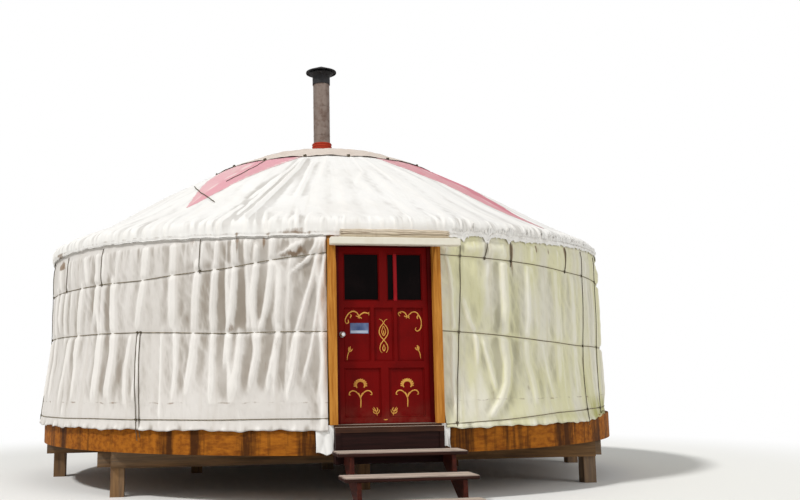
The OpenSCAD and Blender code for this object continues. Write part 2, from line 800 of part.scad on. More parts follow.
deck_posts();
deck_beams();
deck_joists();
floor_deck();
skirt_front();
skirt_rear();
door_sill();
entry_riser();
stair_stringers();
stair_treads();
door_jambs();
door_head();
door_casing();
pole_header();
lintel();
door_flap_roll();
hem_flaps();
door_leaf();
door_panels();
door_glass();
knob_roses();
door_knob();
hinge_frame_plates();
hinge_leaf_plates();
lattice_1();
lattice_2();
lattice_3();
lattice_4();
lattice_5();
lattice_6();
roof_poles();
crown_ring();
crown_spokes();
wall_cover_left();
wall_cover_back();
wall_cover_right();
roof_cover_front();
roof_cover_rear();
crown_cover();
girth_ropes();
tie_ropes();
flue_pipe();
flue_bracket();
flue_boot();
flue_cap();
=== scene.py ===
import math
import random

import bpy
import numpy as np
from mathutils import Matrix, Vector


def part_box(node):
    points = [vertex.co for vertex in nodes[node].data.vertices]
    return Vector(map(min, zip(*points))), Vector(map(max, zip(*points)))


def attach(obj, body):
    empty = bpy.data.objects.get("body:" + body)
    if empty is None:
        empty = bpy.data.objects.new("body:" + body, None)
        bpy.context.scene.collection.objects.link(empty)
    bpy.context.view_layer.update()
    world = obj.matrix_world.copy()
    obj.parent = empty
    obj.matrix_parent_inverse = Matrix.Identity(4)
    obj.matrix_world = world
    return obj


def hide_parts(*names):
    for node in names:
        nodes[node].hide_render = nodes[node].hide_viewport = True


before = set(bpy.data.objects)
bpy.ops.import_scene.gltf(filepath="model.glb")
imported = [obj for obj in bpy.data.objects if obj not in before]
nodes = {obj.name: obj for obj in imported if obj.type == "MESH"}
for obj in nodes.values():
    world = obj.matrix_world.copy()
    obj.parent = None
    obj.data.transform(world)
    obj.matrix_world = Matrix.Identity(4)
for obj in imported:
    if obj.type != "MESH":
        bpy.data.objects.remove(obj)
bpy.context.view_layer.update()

# The yurt's own sizes, in metres and degrees. Directions are counted from the door towards +X.
yurt = {
    "wallRadius": 3.5,
    "skirtRadius": 3.5703,
    "floorTop": 0.735,
    "roofPitch": 27.8,
    "roofSwell": 0.068,      # how far the middle of the slope stands over its plain cone
    "frameHalf": 0.555,      # half width over the door jambs
    "entryHalf": 0.52,       # half width of the entry through the skirt
    "ropeRadius": 0.0042,
}


def aim(direction):
    # unit vector on the ground for a direction counted from the door
    a = math.radians(direction)
    return math.sin(a), -math.cos(a)


# Camera: where the photographer stood, a little lower than the floor's level
camera = {"place": (-1.977, -11.967, 1.136), "heading": 9.38, "pitch": 8.32, "roll": -0.64,
          "lens": 40.5, "shift": 0.094}


def placeCamera(s):
    heading, pitch, roll = (math.radians(s[k]) for k in ("heading", "pitch", "roll"))
    level = math.cos(pitch)
    forward = Vector((math.sin(heading) * level, math.cos(heading) * level, math.sin(pitch)))
    right = Vector((math.cos(heading), -math.sin(heading), 0))
    up = right.cross(forward) * math.cos(roll) - right * math.sin(roll)
    right = forward.cross(up)
    data = bpy.data.cameras.new("camera")
    data.sensor_width, data.lens, data.shift_x = 36, s["lens"], s["shift"]
    data.clip_start, data.clip_end = 0.1, 200
    made = bpy.data.objects.new("camera", data)
    made.matrix_world = Matrix.Translation(s["place"]) @ Matrix((right, up, -forward)).transposed().to_4x4()
    bpy.context.scene.collection.objects.link(made)
    bpy.context.scene.camera = made


placeCamera(camera)
bpy.context.scene.view_settings.view_transform = "Standard"
print("camera placed")


# Short ways to wire shader nodes
def tone(code):
    # a colour as painters write it, "#rrggbb", turned into the linear values that shaders take
    parts = [int(code[i:i + 2], 16) / 255 for i in (1, 3, 5)]
    return tuple(p / 12.92 if p < 0.04045 else ((p + 0.055) / 1.055) ** 2.4 for p in parts) + (1,)


def feed(tree, slot, value):
    if isinstance(value, bpy.types.NodeSocket):
        tree.links.new(value, slot)
    else:
        slot.default_value = value


def put(tree, kind, props=None, **inputs):
    made = tree.nodes.new("ShaderNode" + kind)
    for key, value in (props or {}).items():
        setattr(made, key, value)
    for key, value in inputs.items():
        feed(tree, made.inputs[key.replace("_", " ")], value)
    return made


def mix(tree, amount, a, b, how="MIX"):
    made = put(tree, "Mix", {"data_type": "RGBA", "blend_type": how})
    for index, value in ((0, amount), (6, a), (7, b)):
        feed(tree, made.inputs[index], value)
    return made.outputs[2]


def calc(tree, how, a, b=0.0, c=0.0):
    made = put(tree, "Math", {"operation": how})
    for index, value in enumerate((a, b, c)):
        feed(tree, made.inputs[index], value)
    return made.outputs[0]


def fade(tree, value, low, high, start=0.0, end=1.0):
    made = put(tree, "MapRange", {"interpolation_type": "SMOOTHSTEP"}, Value=value,
               From_Min=low, From_Max=high, To_Min=start, To_Max=end)
    return made.outputs[0]


def stretched(tree, where, scale, turn=(0, 0, 0)):
    made = put(tree, "Mapping", None, Vector=where)
    made.inputs["Scale"].default_value = scale
    made.inputs["Rotation"].default_value = turn
    return made.outputs[0]


def cloud(tree, where, scale, detail=4.0, rough=0.55, stretch=None, turn=(0, 0, 0)):
    if stretch:
        where = stretched(tree, where, stretch, turn)
    return put(tree, "TexNoise", None, Vector=where, Scale=scale, Detail=detail, Roughness=rough).outputs[0]


def relief(tree, shader, height, distance, strength=1.0, under=None):
    made = put(tree, "Bump", None, Height=height, Distance=distance, Strength=strength)
    if under is not None:
        tree.links.new(under, made.inputs["Normal"])
    tree.links.new(made.outputs[0], shader.inputs["Normal"])
    return made.outputs[0]


def newMaterial(name, roughness=0.8, metallic=0.0, specular=0.5):
    made = bpy.data.materials.new(name)
    made.use_nodes = True
    shader = made.node_tree.nodes["Principled BSDF"]
    shader.inputs["Roughness"].default_value = roughness
    shader.inputs["Metallic"].default_value = metallic
    shader.inputs["Specular IOR Level"].default_value = specular
    return made, made.node_tree, shader


def objectPlace(tree):
    return put(tree, "TexCoord").outputs["Object"]


def painted(tree, name):
    # a value that the mesh code stored at each point
    return put(tree, "Attribute", {"attribute_name": name}).outputs["Fac"]


# Floor and light
studio = {"floorColor": "#e9e8e4", "floorSize": 60, "clearFrom": 5.5, "clearTo": 9.5,
          "skyLight": 0.38, "sunStrength": 2.25, "sunSoftness": 6, "sunFrom": (-62, 50),
          "fillStrength": 0.85, "fillFrom": (34, 30)}


def seenDirectly(tree):
    # white for the camera and for what gloss and glass show, and plain light for everything else
    rays = put(tree, "LightPath")
    seen = calc(tree, "MAXIMUM", rays.outputs["Is Camera Ray"], rays.outputs["Is Glossy Ray"])
    return calc(tree, "MAXIMUM", seen, rays.outputs["Is Transmission Ray"])


def buildStudio(s):
    world = bpy.data.worlds.new("studio")
    bpy.context.scene.world = world
    world.use_nodes = True
    tree = world.node_tree
    tree.nodes.clear()
    plain = put(tree, "Background", None, Color=(0.97, 0.985, 1, 1), Strength=s["skyLight"])
    white = put(tree, "Background", None, Color=(1, 1, 1, 1), Strength=1.0)
    both = put(tree, "MixShader", None, Fac=seenDirectly(tree))
    tree.links.new(plain.outputs[0], both.inputs[1])
    tree.links.new(white.outputs[0], both.inputs[2])
    tree.links.new(both.outputs[0], put(tree, "OutputWorld").inputs[0])
    for name, (direction, height), strength, soft in (
            ("sun", s["sunFrom"], s["sunStrength"], s["sunSoftness"]),
            ("fill", s["fillFrom"], s["fillStrength"], 45)):
        data = bpy.data.lights.new(name, "SUN")
        data.energy, data.angle = strength, math.radians(soft)
        x, y = aim(direction)
        up = math.radians(height)
        lamp = bpy.data.objects.new(name, data)
        toLamp = Vector((x * math.cos(up), y * math.cos(up), math.sin(up)))
        lamp.rotation_euler = toLamp.to_track_quat("Z", "Y").to_euler()
        bpy.context.scene.collection.objects.link(lamp)


def floorMaterial(s):
    made, tree, shader = newMaterial("studioFloor", 0.9, specular=0.2)
    feed(tree, shader.inputs["Base Color"], tone(s["floorColor"]))
    place = objectPlace(tree)
    distance = put(tree, "VectorMath", {"operation": "LENGTH"}, Vector=place).outputs["Value"]
    far = fade(tree, distance, s["clearFrom"], s["clearTo"])
    glow = put(tree, "Emission", None, Strength=1.0)
    both = put(tree, "MixShader", None, Fac=calc(tree, "MULTIPLY", far, seenDirectly(tree)))
    tree.links.new(shader.outputs[0], both.inputs[1])
    tree.links.new(glow.outputs[0], both.inputs[2])
    tree.links.new(both.outputs[0], tree.nodes["Material Output"].inputs[0])
    return made


buildStudio(studio)


# Mesh helpers. A part is (points, faces), and parts are joined into one mesh.
def meshObject(name, points, faces, material, shaded=True, uv=None, values=None):
    mesh = bpy.data.meshes.new(name)
    mesh.from_pydata([tuple(p) for p in points], [], [tuple(f) for f in faces])
    if uv is not None:
        layer = mesh.uv_layers.new(name="cloth")
        loops = np.zeros(len(mesh.loops), np.int32)
        mesh.loops.foreach_get("vertex_index", loops)
        layer.uv.foreach_set("vector", np.asarray(uv, np.float32)[loops].ravel())
    for key, numbers in (values or {}).items():
        layer = mesh.attributes.new(key, "FLOAT", "POINT")
        layer.data.foreach_set("value", np.asarray(numbers, np.float32))
    mesh.polygons.foreach_set("use_smooth", [shaded] * len(mesh.polygons))
    mesh.materials.append(material)
    mesh.update()
    made = bpy.data.objects.new(name, mesh)
    bpy.context.scene.collection.objects.link(made)
    return made


def joined(parts):
    points, faces, tint, start = [], [], [], 0
    shade = random.Random(5)
    for part in parts:
        points.append(np.asarray(part[0], float))
        faces.extend([tuple(start + i for i in f) for f in part[1]])
        tint.append(np.full(len(part[0]), shade.random()))
        start += len(part[0])
    return np.concatenate(points), faces, {"tint": np.concatenate(tint)}


def partsObject(name, parts, material, shaded=False):
    points, faces, values = joined(parts)
    return meshObject(name, points, faces, material, shaded, values=values)


def gridFaces(rows, columns, closed=False):
    faces = []
    last = columns if closed else columns - 1
    for i in range(rows - 1):
        for j in range(last):
            k = (j + 1) % columns
            faces.append((i * columns + j, (i + 1) * columns + j, (i + 1) * columns + k, i * columns + k))
    return faces


def clothObject(name, grid, material, uv, values=None, closed=False, thickness=0.0, drop=None):
    # grid is rows x columns x 3, from the upper edge down
    # big sheets have their hem turned under and no thickness
    rows, columns = grid.shape[:2]
    faces = gridFaces(rows, columns, closed)
    points = grid.reshape(-1, 3)
    if drop is not None:
        middle = points[np.asarray(faces)].mean(1)
        faces = [f for f, gone in zip(faces, drop(middle)) if not gone]
    made = meshObject(name, points, faces, material, True, uv.reshape(-1, 2),
                      {k: v.ravel() for k, v in (values or {}).items()})
    if thickness:
        shell = made.modifiers.new("thickness", "SOLIDIFY")
        shell.thickness, shell.offset = thickness, -1
    return made


def board(low, high, chamfer=0.003):
    # a box with chamfered edges
    low, high = np.minimum(low, high), np.maximum(low, high)
    c = min(chamfer, float((high - low).min()) / 2.5)
    points, index = [], {}
    for corner in range(8):
        side = np.array([(corner >> k) & 1 for k in range(3)])
        at = np.where(side, high, low)
        inward = np.where(side, -c, c)
        for axis in range(3):
            p = at + inward
            p[axis] = at[axis]
            index[corner, axis] = len(points)
            points.append(p)
    faces = []
    for axis in range(3):
        a, b = (axis + 1) % 3, (axis + 2) % 3
        for side in (0, 1):
            ring = [(side << axis) | (i << a) | (j << b) for i, j in ((0, 0), (1, 0), (1, 1), (0, 1))]
            face = [index[r, axis] for r in ring]
            faces.append(face if side else face[::-1])
        for i in (0, 1):
            for j in (0, 1):
                one = (i << a) | (j << b)
                two = one | (1 << axis)
                face = [index[one, a], index[two, a], index[two, b], index[one, b]]
                faces.append(face if i == j else face[::-1])
    for corner in range(8):
        face = [index[corner, k] for k in range(3)]
        odd = bin(corner).count("1") % 2
        faces.append(face if odd else face[::-1])
    return np.array(points), faces


def tube(line, radius, sides=8, closed=False):
    # a round tube along points, with one radius or one for each point
    line = np.asarray(line, float)
    count = len(line)
    radius = np.broadcast_to(np.asarray(radius, float), (count,))
    if closed:
        along = np.roll(line, -1, 0) - np.roll(line, 1, 0)
    else:
        along = np.gradient(line, axis=0)
    along /= np.linalg.norm(along, axis=1)[:, None]
    side = np.cross(along[0], (0, 0, 1) if abs(along[0][2]) < 0.9 else (1, 0, 0))
    turns = np.linspace(0, 2 * np.pi, sides, endpoint=False)
    points = []
    for i in range(count):
        side = side - along[i] * (side @ along[i])
        side /= np.linalg.norm(side)
        up = np.cross(along[i], side)
        points.append(line[i] + radius[i] * (np.outer(np.cos(turns), side) + np.outer(np.sin(turns), up)))
    points = np.concatenate(points)
    faces = []
    for i in range(count if closed else count - 1):
        k = (i + 1) % count
        for j in range(sides):
            m = (j + 1) % sides
            faces.append((i * sides + j, i * sides + m, k * sides + m, k * sides + j))
    if not closed:
        faces.append(tuple(range(sides))[::-1])
        faces.append(tuple(range((count - 1) * sides, count * sides)))
    return points, faces


def placed(part, move, turn=None):
    points = part[0] @ np.asarray(turn).T if turn is not None else part[0]
    return points + np.asarray(move), part[1]


def faceOut(direction):
    # turns local x, y, z to sideways, outwards and up at a direction
    x, y = aim(direction)
    return np.array([[-y, x, 0], [x, y, 0], [0, 0, 1]]).T


def knot(size, thick, seed=0):
    # an overhand knot pulled tight, as a small trefoil of cord
    t = np.linspace(0, 2 * np.pi, 30, endpoint=False) + seed
    line = np.stack([np.sin(t) + 2 * np.sin(2 * t), 0.8 * -np.sin(3 * t), np.cos(t) - 2 * np.cos(2 * t)], 1)
    return tube(line * size / 6, thick, 6, True)


def smooth(x, low, high):
    t = np.clip((np.asarray(x, float) - low) / (high - low), 0, 1)
    return t * t * (3 - 2 * t)


def bell(x, width):
    return np.exp(-(np.asarray(x, float) / width) ** 2)


def wavy(u, seed, pieces):
    # smooth noise along a line: sine waves of given lengths, each with its height
    draw = random.Random(seed)
    return sum(height * np.sin(2 * np.pi * u / (length * draw.uniform(0.85, 1.2)) + draw.uniform(0, 6.3))
               for length, height in pieces)


# Materials, and the colours laid over them: weathering, a painted highlight for the crests of folds, and pale
# tops that are partly wear and partly painted light
weather = {"algae": "#d6d29a", "oldAlgae": "#a9a060", "crestHighlight": "#f6f2ec", "moss": "#a3a04a",
           "stain": "#7a5f42", "greyed": "#7d7468", "worn": "#c4b3a4", "dust": "#8a6a55"}


def canvasMaterial(name, clean, dirty, stainColor, dirt=0.5, streaks=0.4, algae=0.0, hollowShadeAndWear=0.5,
                   hollowTone="#a2917b", crest=0.0):
    # dirt, streaks and algae say how strong each layer of weathering is, from 0 to 1. The strength of the
    # hollow tone paints shade into the hollows of folds and creases (on the pink rays it lays pale wear), and
    # crest paints a highlight on the crests, both from 0 to 1
    made, tree, shader = newMaterial(name, 0.88, specular=0.25)
    flat = put(tree, "UVMap", {"uv_map": "cloth"}).outputs[0]
    place = objectPlace(tree)
    dull = fade(tree, cloud(tree, place, 1.3, 6, 0.6), 0.35, 0.8, 0, dirt)
    color = mix(tree, dull, tone(clean), tone(dirty))
    runs = cloud(tree, flat, 1.0, 7, 0.62, (9, 0.55, 1))
    color = mix(tree, fade(tree, runs, 0.5, 0.78, 0, streaks), color, tone(stainColor))
    if algae:
        growth = cloud(tree, flat, 1.0, 6, 0.6, (2.4, 0.7, 1))
        color = mix(tree, fade(tree, growth, 0.36, 0.62, 0, algae), color, tone(weather["algae"]))
        thick = cloud(tree, flat, 1.0, 8, 0.7, (7, 1.2, 1))
        color = mix(tree, fade(tree, thick, 0.55, 0.8, 0, algae * 0.7), color, tone(weather["oldAlgae"]))
    speck = cloud(tree, place, 38, 5, 0.7)
    color = mix(tree, fade(tree, speck, 0.62, 0.8, 0, 0.25), color, tone(stainColor))
    # painted highlight: the crests of folds are lightened towards a near white
    if crest:
        crestHighlight = fade(tree, painted(tree, "hollow"), 0.46, 0.2, 0, crest)
        color = mix(tree, crestHighlight, color, tone(weather["crestHighlight"]))
    # painted shade: the hollows of folds and creases are darkened towards the hollow tone, which on the pink
    # rays is pale wear instead
    deep = calc(tree, "MULTIPLY", fade(tree, painted(tree, "hollow"), 0.5, 0.9, 0, hollowShadeAndWear),
                fade(tree, cloud(tree, flat, 1.0, 4, 0.6, (1.6, 0.9, 1)), 0.25, 0.7, 0.35, 1))
    color = mix(tree, deep, color, tone(hollowTone))
    patchy = fade(tree, cloud(tree, flat, 1.0, 7, 0.68, (14, 3, 1)), 0.2, 0.7, 0.15, 1)
    color = mix(tree, calc(tree, "MULTIPLY", painted(tree, "moss"), patchy), color, tone(weather["moss"]))
    # stains break up into ragged spots towards their edge
    ragged = calc(tree, "MULTIPLY_ADD", cloud(tree, flat, 1.0, 7, 0.68, (13, 5, 1)), 1.5, -0.75)
    spots = fade(tree, calc(tree, "ADD", painted(tree, "stain"), ragged), 0.3, 0.95, 0, 0.85)
    spots = calc(tree, "MULTIPLY", spots, fade(tree, painted(tree, "stain"), 0.03, 0.3))
    color = mix(tree, spots, color, tone(weather["stain"]))
    feed(tree, shader.inputs["Base Color"], color)
    weave = cloud(tree, place, 420, 2, 0.5)
    crumple = cloud(tree, flat, 1.0, 5, 0.6, (22, 9, 1))
    rise = calc(tree, "ADD", calc(tree, "MULTIPLY", weave, 0.25), crumple)
    relief(tree, shader, rise, 0.004, 0.7)
    shader.inputs["Sheen Weight"].default_value = 0.15
    shader.inputs["Sheen Roughness"].default_value = 0.5
    return made


def woodMaterial(name, pale, dark, axis, roughness=0.62, ringScale=10.0, wearAndLight=None, stains=0.0,
                 stainTone="#4a2a14", grey=0.0):
    # grain runs along the axis, and tint varies from board to board
    made, tree, shader = newMaterial(name, roughness, specular=0.1)
    place = objectPlace(tree)
    tint = painted(tree, "tint")
    shifted = put(tree, "VectorMath", {"operation": "ADD"}, Vector=place)
    spread = put(tree, "CombineXYZ", None, X=calc(tree, "MULTIPLY", tint, 7.3),
                 Y=calc(tree, "MULTIPLY", tint, 3.1), Z=calc(tree, "MULTIPLY", tint, 5.7))
    tree.links.new(spread.outputs[0], shifted.inputs[1])
    where = shifted.outputs[0]
    scale = [1.0, 1.0, 1.0]
    scale[axis] = 0.07
    grain = cloud(tree, where, ringScale * 3.2, 6, 0.62, tuple(scale))
    fiber = cloud(tree, where, ringScale * 26, 3, 0.6, tuple(scale))
    color = mix(tree, fade(tree, grain, 0.32, 0.7), tone(pale), tone(dark))
    color = mix(tree, fade(tree, fiber, 0.45, 0.8, 0, 0.35), color, tone(dark))
    color = mix(tree, calc(tree, "MULTIPLY", tint, 0.35), color, tone(dark))
    if grey:
        weathered = fade(tree, cloud(tree, where, 3, 5, 0.6, tuple(scale)), 0.4, 0.7, 0, grey)
        color = mix(tree, weathered, color, tone(weather["greyed"]))
    if stains:
        runs = cloud(tree, place, 1.0, 6, 0.66, (4.2, 4.2, 0.35))
        color = mix(tree, fade(tree, runs, 0.47, 0.62, 0, stains), color, tone(stainTone))
    # pale tops: partly wear and partly painted light
    if wearAndLight is not None:
        color = mix(tree, wearAndLight(tree, place), color, tone(weather["worn"]))
    feed(tree, shader.inputs["Base Color"], color)
    relief(tree, shader, calc(tree, "ADD", grain, calc(tree, "MULTIPLY", fiber, 0.6)), 0.0015, 0.6)
    return made


def metalMaterial(name, color, rust, roughness=0.45, amount=0.4, metallic=0.85):
    made, tree, shader = newMaterial(name, roughness, metallic)
    place = objectPlace(tree)
    spots = cloud(tree, place, 14, 7, 0.65)
    tinted = mix(tree, fade(tree, spots, 0.42, 0.7, 0, amount), tone(color), tone(rust))
    feed(tree, shader.inputs["Base Color"], tinted)
    feed(tree, shader.inputs["Roughness"], fade(tree, spots, 0.3, 0.8, roughness, min(1, roughness + 0.3)))
    relief(tree, shader, cloud(tree, place, 90, 3), 0.0004, 0.4)
    return made


def paintMaterial(name, color, worn, roughness=0.42, amount=0.3, dustFrom=None):
    # brushed gloss paint on timber, with dust towards the foot
    made, tree, shader = newMaterial(name, roughness, specular=0.06)
    place = objectPlace(tree)
    brush = cloud(tree, place, 30, 5, 0.6, (1, 1, 0.08))
    tinted = mix(tree, fade(tree, cloud(tree, place, 5, 5), 0.35, 0.75, 0, amount), tone(color), tone(worn))
    tinted = mix(tree, fade(tree, brush, 0.5, 0.85, 0, amount * 0.5), tinted, tone(worn))
    if dustFrom:
        height = put(tree, "SeparateXYZ", None, Vector=place).outputs[2]
        dust = calc(tree, "MULTIPLY", fade(tree, height, dustFrom[1], dustFrom[0]),
                    fade(tree, cloud(tree, place, 12, 6, 0.65), 0.3, 0.75))
        tinted = mix(tree, calc(tree, "MULTIPLY", dust, 0.15), tinted, tone(weather["dust"]))
    feed(tree, shader.inputs["Base Color"], tinted)
    relief(tree, shader, brush, 0.0008, 0.5)
    return made


def ropeMaterial(name, pale, dark):
    made, tree, shader = newMaterial(name, 0.9, specular=0.15)
    place = objectPlace(tree)
    strands = put(tree, "TexWave", {"bands_direction": "DIAGONAL"}, Vector=place, Scale=42.0, Distortion=1.5)
    color = mix(tree, strands.outputs["Fac"], tone(dark), tone(pale))
    color = mix(tree, fade(tree, cloud(tree, place, 6, 5), 0.4, 0.7, 0, 0.6), color, tone(dark))
    feed(tree, shader.inputs["Base Color"], color)
    relief(tree, shader, strands.outputs["Fac"], 0.002, 0.8)
    return made


def glassMaterial(name, clear, smeared):
    # the clear glass is near black: painted shade of the unlit room behind the panes
    made, tree, shader = newMaterial(name, 0.08, specular=0.04)
    smear = cloud(tree, objectPlace(tree), 4, 5, 0.6)
    color = mix(tree, fade(tree, smear, 0.35, 0.8), tone(clear), tone(smeared))
    feed(tree, shader.inputs["Base Color"], color)
    feed(tree, shader.inputs["Roughness"], fade(tree, smear, 0.3, 0.8, 0.05, 0.16))
    return made


def paleTopsWornAndLit(low, high, amount):
    # faces that look up are made paler, partly for dust and wear and partly as painted sunlight
    def wearAndLight(tree, place):
        up = put(tree, "SeparateXYZ", None, Vector=put(tree, "NewGeometry").outputs["Normal"]).outputs[2]
        chewed = cloud(tree, place, 7, 6, 0.65, (0.5, 1, 1))
        return calc(tree, "MULTIPLY", fade(tree, up, low, high), fade(tree, chewed, 0.18, 0.55, 0.45, amount))
    return wearAndLight


# Canvas: clean, dirty and stain colours, then the weathering, with painted shade in the hollows of folds and
# a painted highlight on their crests
roofCanvas = canvasMaterial("roofCanvas", "#ebe9e5", "#dad5cd", "#b3a58f", 0.45, 0.16,
                            hollowShadeAndWear=0.65, hollowTone="#a29b92", crest=0.4)
# the left wall's canvas is greyer and darker than the rear's, partly as painted shade, with a deeper tone in
# its hollows
leftCanvas = canvasMaterial("leftCanvas", "#d9d4ce", "#bdb6ac", "#9c8b74", 0.5, 0.25,
                            hollowShadeAndWear=0.88, hollowTone="#85796a", crest=0.5)
rightCanvas = canvasMaterial("rightCanvas", "#e0dccb", "#cdc8b6", "#b3a274", 0.6, 0.4, algae=0.62,
                             hollowShadeAndWear=0.7, hollowTone="#8a846f", crest=0.3)
rearCanvas = canvasMaterial("rearCanvas", "#dcd8cd", "#c4beae", "#a3957a", 0.5, 0.35, algae=0.2,
                            hollowShadeAndWear=0.6, hollowTone="#8f8672", crest=0.3)
crownCanvas = canvasMaterial("crownCanvas", "#d6c9bd", "#bfae9e", "#9b8570", 0.6, 0.3)
flapCanvas = canvasMaterial("flapCanvas", "#d8cbb6", "#bea98a", "#86694a", 0.6, 0.4,
                            hollowShadeAndWear=0.9, hollowTone="#6f563c")
scrapCanvas = canvasMaterial("scrapCanvas", "#f0eeea", "#dfdad2", "#c0b4a0", 0.3, 0.15)
pinkCanvas = canvasMaterial("pinkCanvas", "#c9707f", "#c0707a", "#c5a9a0", 0.7, 0.3,
                            hollowShadeAndWear=0.8, hollowTone="#e2cfca")
pinkFaded = canvasMaterial("pinkFaded", "#d99ba4", "#c99297", "#c9b3a6", 0.8, 0.4,
                           hollowShadeAndWear=0.9, hollowTone="#e6d3cd")
# Timber: pale and dark grain, the axis that the grain runs along, roughness and how close the rings are
plywood = woodMaterial("plywood", "#a8651a", "#7a420f", 0, 0.75, 7, stains=0.9, stainTone="#331a08")
frameTimber = woodMaterial("frameTimber", "#8a6a48", "#5a4230", 2, 0.75, 9, grey=0.5)
beamTimber = woodMaterial("beamTimber", "#80603f", "#54402c", 0, 0.75, 9, grey=0.5)
joistTimber = woodMaterial("joistTimber", "#8a6a46", "#5c452f", 1, 0.75, 9, grey=0.4)
floorWood = woodMaterial("floorWood", "#b98a54", "#8a6036", 1, 0.5, 9)
pineWood = woodMaterial("pineWood", "#c88a3c", "#a0621f", 2, 0.6, 12)
headerWood = woodMaterial("headerWood", "#c99a5e", "#a3743e", 0, 0.6, 12)
lathWood = woodMaterial("lathWood", "#c58a4a", "#9a6430", 2, 0.55, 14)
crownWood = woodMaterial("crownWood", "#b9743a", "#8c5226", 0, 0.5, 12)
# treads and sill: faces that look up are paler, partly wear and partly painted light
treadWood = woodMaterial("treadWood", "#3c2019", "#22120e", 0, 0.6, 10, wearAndLight=paleTopsWornAndLit(0.5, 0.95, 0.92))
stringerWood = woodMaterial("stringerWood", "#4c1f15", "#2f130d", 1, 0.6, 10)
riserWood = woodMaterial("riserWood", "#2a1411", "#190a08", 0, 0.6, 10)
sillWood = woodMaterial("sillWood", "#4a2e20", "#2e1d16", 0, 0.55, 10, wearAndLight=paleTopsWornAndLit(0.5, 0.95, 0.85))
# Paint, metal and rope
redPaint = paintMaterial("redPaint", "#6e0605", "#500303", 0.5, 0.5, (0.74, 1.0))
# casingPaint is a darker copy of the door's red: painted shade in the reveal round the leaf
casingPaint = paintMaterial("casingPaint", "#4e0505", "#380303", 0.45, 0.5)
# brightRed is a lighter copy of the door's red, for the painted highlight bar in the right pane
brightRed = paintMaterial("brightRed", "#9c1c22", "#6e0c10", 0.4, 0.5)
creamPaint = paintMaterial("creamPaint", "#e4dfd0", "#cfc6ae", 0.5, 0.5)
goldPaint = paintMaterial("goldPaint", "#d9a551", "#bd7f3c", 0.42, 0.7)
stickerPaint = paintMaterial("stickerPaint", "#3f4f74", "#7f8cab", 0.35, 0.9)
stickerPale = paintMaterial("stickerPale", "#b4bccb", "#8f9ab5", 0.35, 0.6)
silverMetal = metalMaterial("silverMetal", "#cfd0d2", "#9b9b9b", 0.22, 0.2, 1.0)
darkSteel = metalMaterial("darkSteel", "#3b3a39", "#4e3527", 0.5, 0.5)
flueSteel = metalMaterial("flueSteel", "#7b6d64", "#5b3f33", 0.5, 0.6, 0.6)
flueBlack = metalMaterial("flueBlack", "#151416", "#2a211d", 0.6, 0.3, 0.3)
bracketSteel = metalMaterial("bracketSteel", "#55534f", "#5e4130", 0.5, 0.4)
redRubber = paintMaterial("redRubber", "#b3402c", "#8c2f22", 0.7, 0.5)
girthCord = ropeMaterial("girthCord", "#9a8f78", "#5c533f")
dullCord = ropeMaterial("dullCord", "#7c7260", "#443d30")
# windowPane: near-black panes, painted shade of the room behind them
windowPane = glassMaterial("windowPane", "#060303", "#120a0a")
print("materials mixed")


# CAD nodes that keep their own shape
ownShape = {
    "deck_posts": frameTimber, "deck_beams": beamTimber, "deck_joists": joistTimber, "skirt_front": plywood,
    "skirt_rear": plywood, "door_sill": sillWood, "entry_riser": riserWood, "stair_stringers": stringerWood,
    "door_jambs": pineWood, "door_head": pineWood, "door_casing": casingPaint, "pole_header": headerWood,
    "door_leaf": redPaint, "door_panels": redPaint, "door_glass": windowPane, "knob_roses": silverMetal,
    "door_knob": silverMetal, "hinge_frame_plates": darkSteel, "hinge_leaf_plates": darkSteel,
    "roof_poles": lathWood, "crown_ring": crownWood, "crown_spokes": crownWood, "flue_pipe": flueSteel,
    "flue_bracket": bracketSteel, "flue_boot": redRubber, "flue_cap": flueBlack,
}
ownShape.update({f"lattice_{k}": lathWood for k in range(1, 7)})
for nodeName, finish in ownShape.items():
    nodes[nodeName].data.materials.clear()
    nodes[nodeName].data.materials.append(finish)


